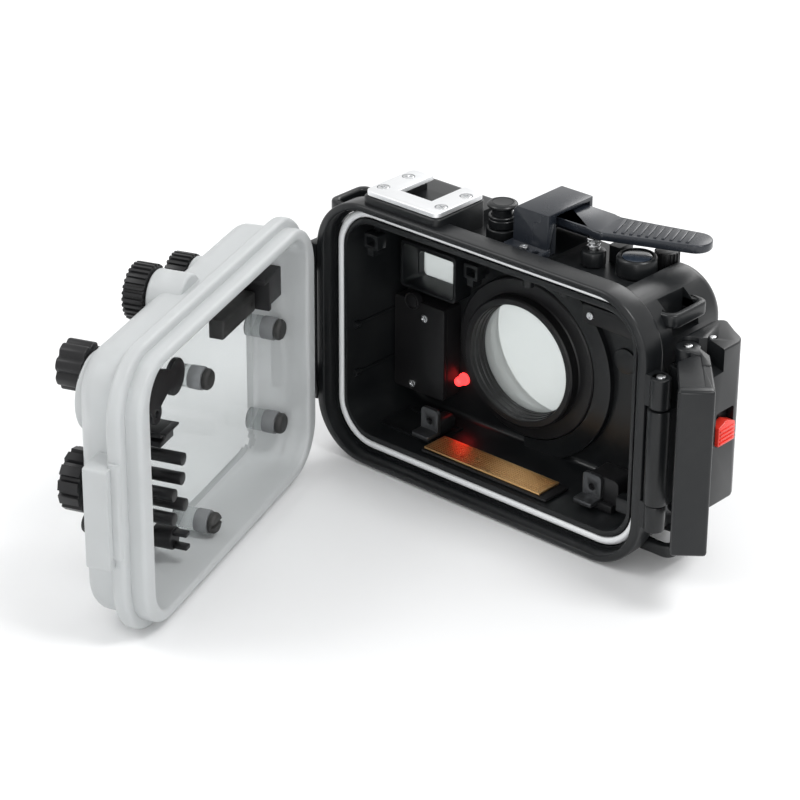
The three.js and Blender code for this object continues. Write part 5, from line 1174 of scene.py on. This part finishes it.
def latchLever():
    main = prism("latchLever", "z", [
        (70.8, 8.8), (86, 8.8), (86, 24.4), (84.6, 27.6), (80, 30.3), (73.4, 35), (70.8, 32.4)],
        (-20.7, 33))
    roundEdges(main, 1.6, 6, along("z"))
    roundEdges(main, 0.7, 4, across("z", 0.1))
    web = block("web", (71.5, 77), (1.8, 9.8), (-18.5, 14.3))
    sleeve = rod("sleeve", "z", latch["at"], (-18.5, 14.3), latch["sleeve"], 48)
    fuse(main, web, roundEdges(sleeve, 0.4, 2))
    swingRoom = prism("swingRoom", "z", hookPoints([
        (0, 6.9), (31, 6.9), (31, -31), (-4, -31), (-4, -4)], hook["foldDegrees"]), (25.5, 34))
    pocket = roundedBar("pocket", (83.4, 88), (14.2, 23.3), (0.2, 11.8), "x", 0.8, 3)
    carve(main, rod("notch", "z", hookPivot, (25.5, 34), hook["notch"], 56), swingRoom, pocket,
          rod("bore", "z", latch["at"], (-30, 30), latch["bore"], 24),
          rod("pivotBore", "z", hookPivot, (-30, 40), hook["bore"], 24),
          rod("lockBore", "z", lockPinAt, (23.7, 40), 1.4, 24))
    roundEdges(main, 0.3, 2, lambda middle, way: (
        abs(middle.z - 33) < 0.01 or abs(middle.z - 25.5) < 0.01))
    dress(main, "satinBlack", "body_black", "latch_lever", body="latch_lever")
    pin("lockPin", "z", lockPinAt, (24, 33.2), 1.1, "lock_pin", 24, 0.2, "latch_lever")
    pin("hookPin", "z", hookPivot, (-24.8, 32.2), hook["pin"], "hook_pin", 32, 0.25, "latch_lever")


def latchHook():
    plate = prism("latchHook", "z", hookPoints([
        (12.2, 3.2), (29.5, 3.2), (29.5, 6.35), (12.2, 6.35)]), (-24.7, 31.4))
    lipPart = prism("lip", "z", hookPoints([
        (27, -4.8), (31, -4.8), (31, 6.4), (27, 6.4)]), (-24.85, 31.5))
    roundEdges(lipPart, 1.1, 4)
    roundEdges(plate, 0.5, 3)
    shoulder = prism("shoulder", "z", hookPoints([
        (5.5, 1), (10, -4), (28, -4.4), (28, 6), (5.5, 6)]), (28.6, 31.3))
    parts = [lipPart, roundEdges(shoulder, 0.5, 3)]
    for low, high in ((26, 31.8), (-24.8, -21.2)):
        lobe = roundRod("lobe", "z", hookPivot, (low, high), hook["lobe"], 48, 0.5, 3)
        arm = prism("arm", "z", hookPoints([
            (-1.9, 2.1), (2.1, -1.9), (6.1, 3.3), (13.2, 3.3), (13.2, 6.25), (6.1, 6.25)]),
            (low + 0.05, high - 0.05))
        fuse(lobe, roundEdges(arm, 0.5, 3))
        bore = rod("bore", "z", hookPivot, (low - over, high + over), hook["bore"], 24)
        parts.append(carve(lobe, bore))
    fuse(plate, *parts)
    dress(plate, "satinBlack", "body_black", "latch_hook", body="latch_hook")


def lockSlide():
    side = [(14.5, 0.5), (23, 0.5), (23, 6.9), (18.75, 8.7), (14.5, 6.9)]
    slide = prism("lockSlide", "x", side, (83.7, 87.2))
    roundEdges(slide, 0.4, 3)
    ribs = []
    for i in range(4):
        bottom = 0.5 + 1.4 * (i + 0.5)
        rib = block("rib", (86.8, 87.6), (15, 22.5), (bottom, bottom + 0.7))
        ribs.append(roundEdges(rib, 0.2, 2))
    dress(gather(slide, *ribs), "lockRed", "lock_red", "lock_slide", body="lock")


lensPort()
leakAlarm()
cameraRest("restLeft", -32.4, 6.2, 6, -0.3, "camera_rest_left")
cameraRest("restRight", 37.3, 13, 11, 3.4, "camera_rest_right")
for make in (innerArm, shoePlate, topButton, shutterBracket, shutterLever, shutterPlunger,
             topKnobs):
    make()
print("inner parts and top controls are made")
for make in (hingeParts, latchLever, latchHook, lockSlide):
    make()
print("hinge and latch are made")
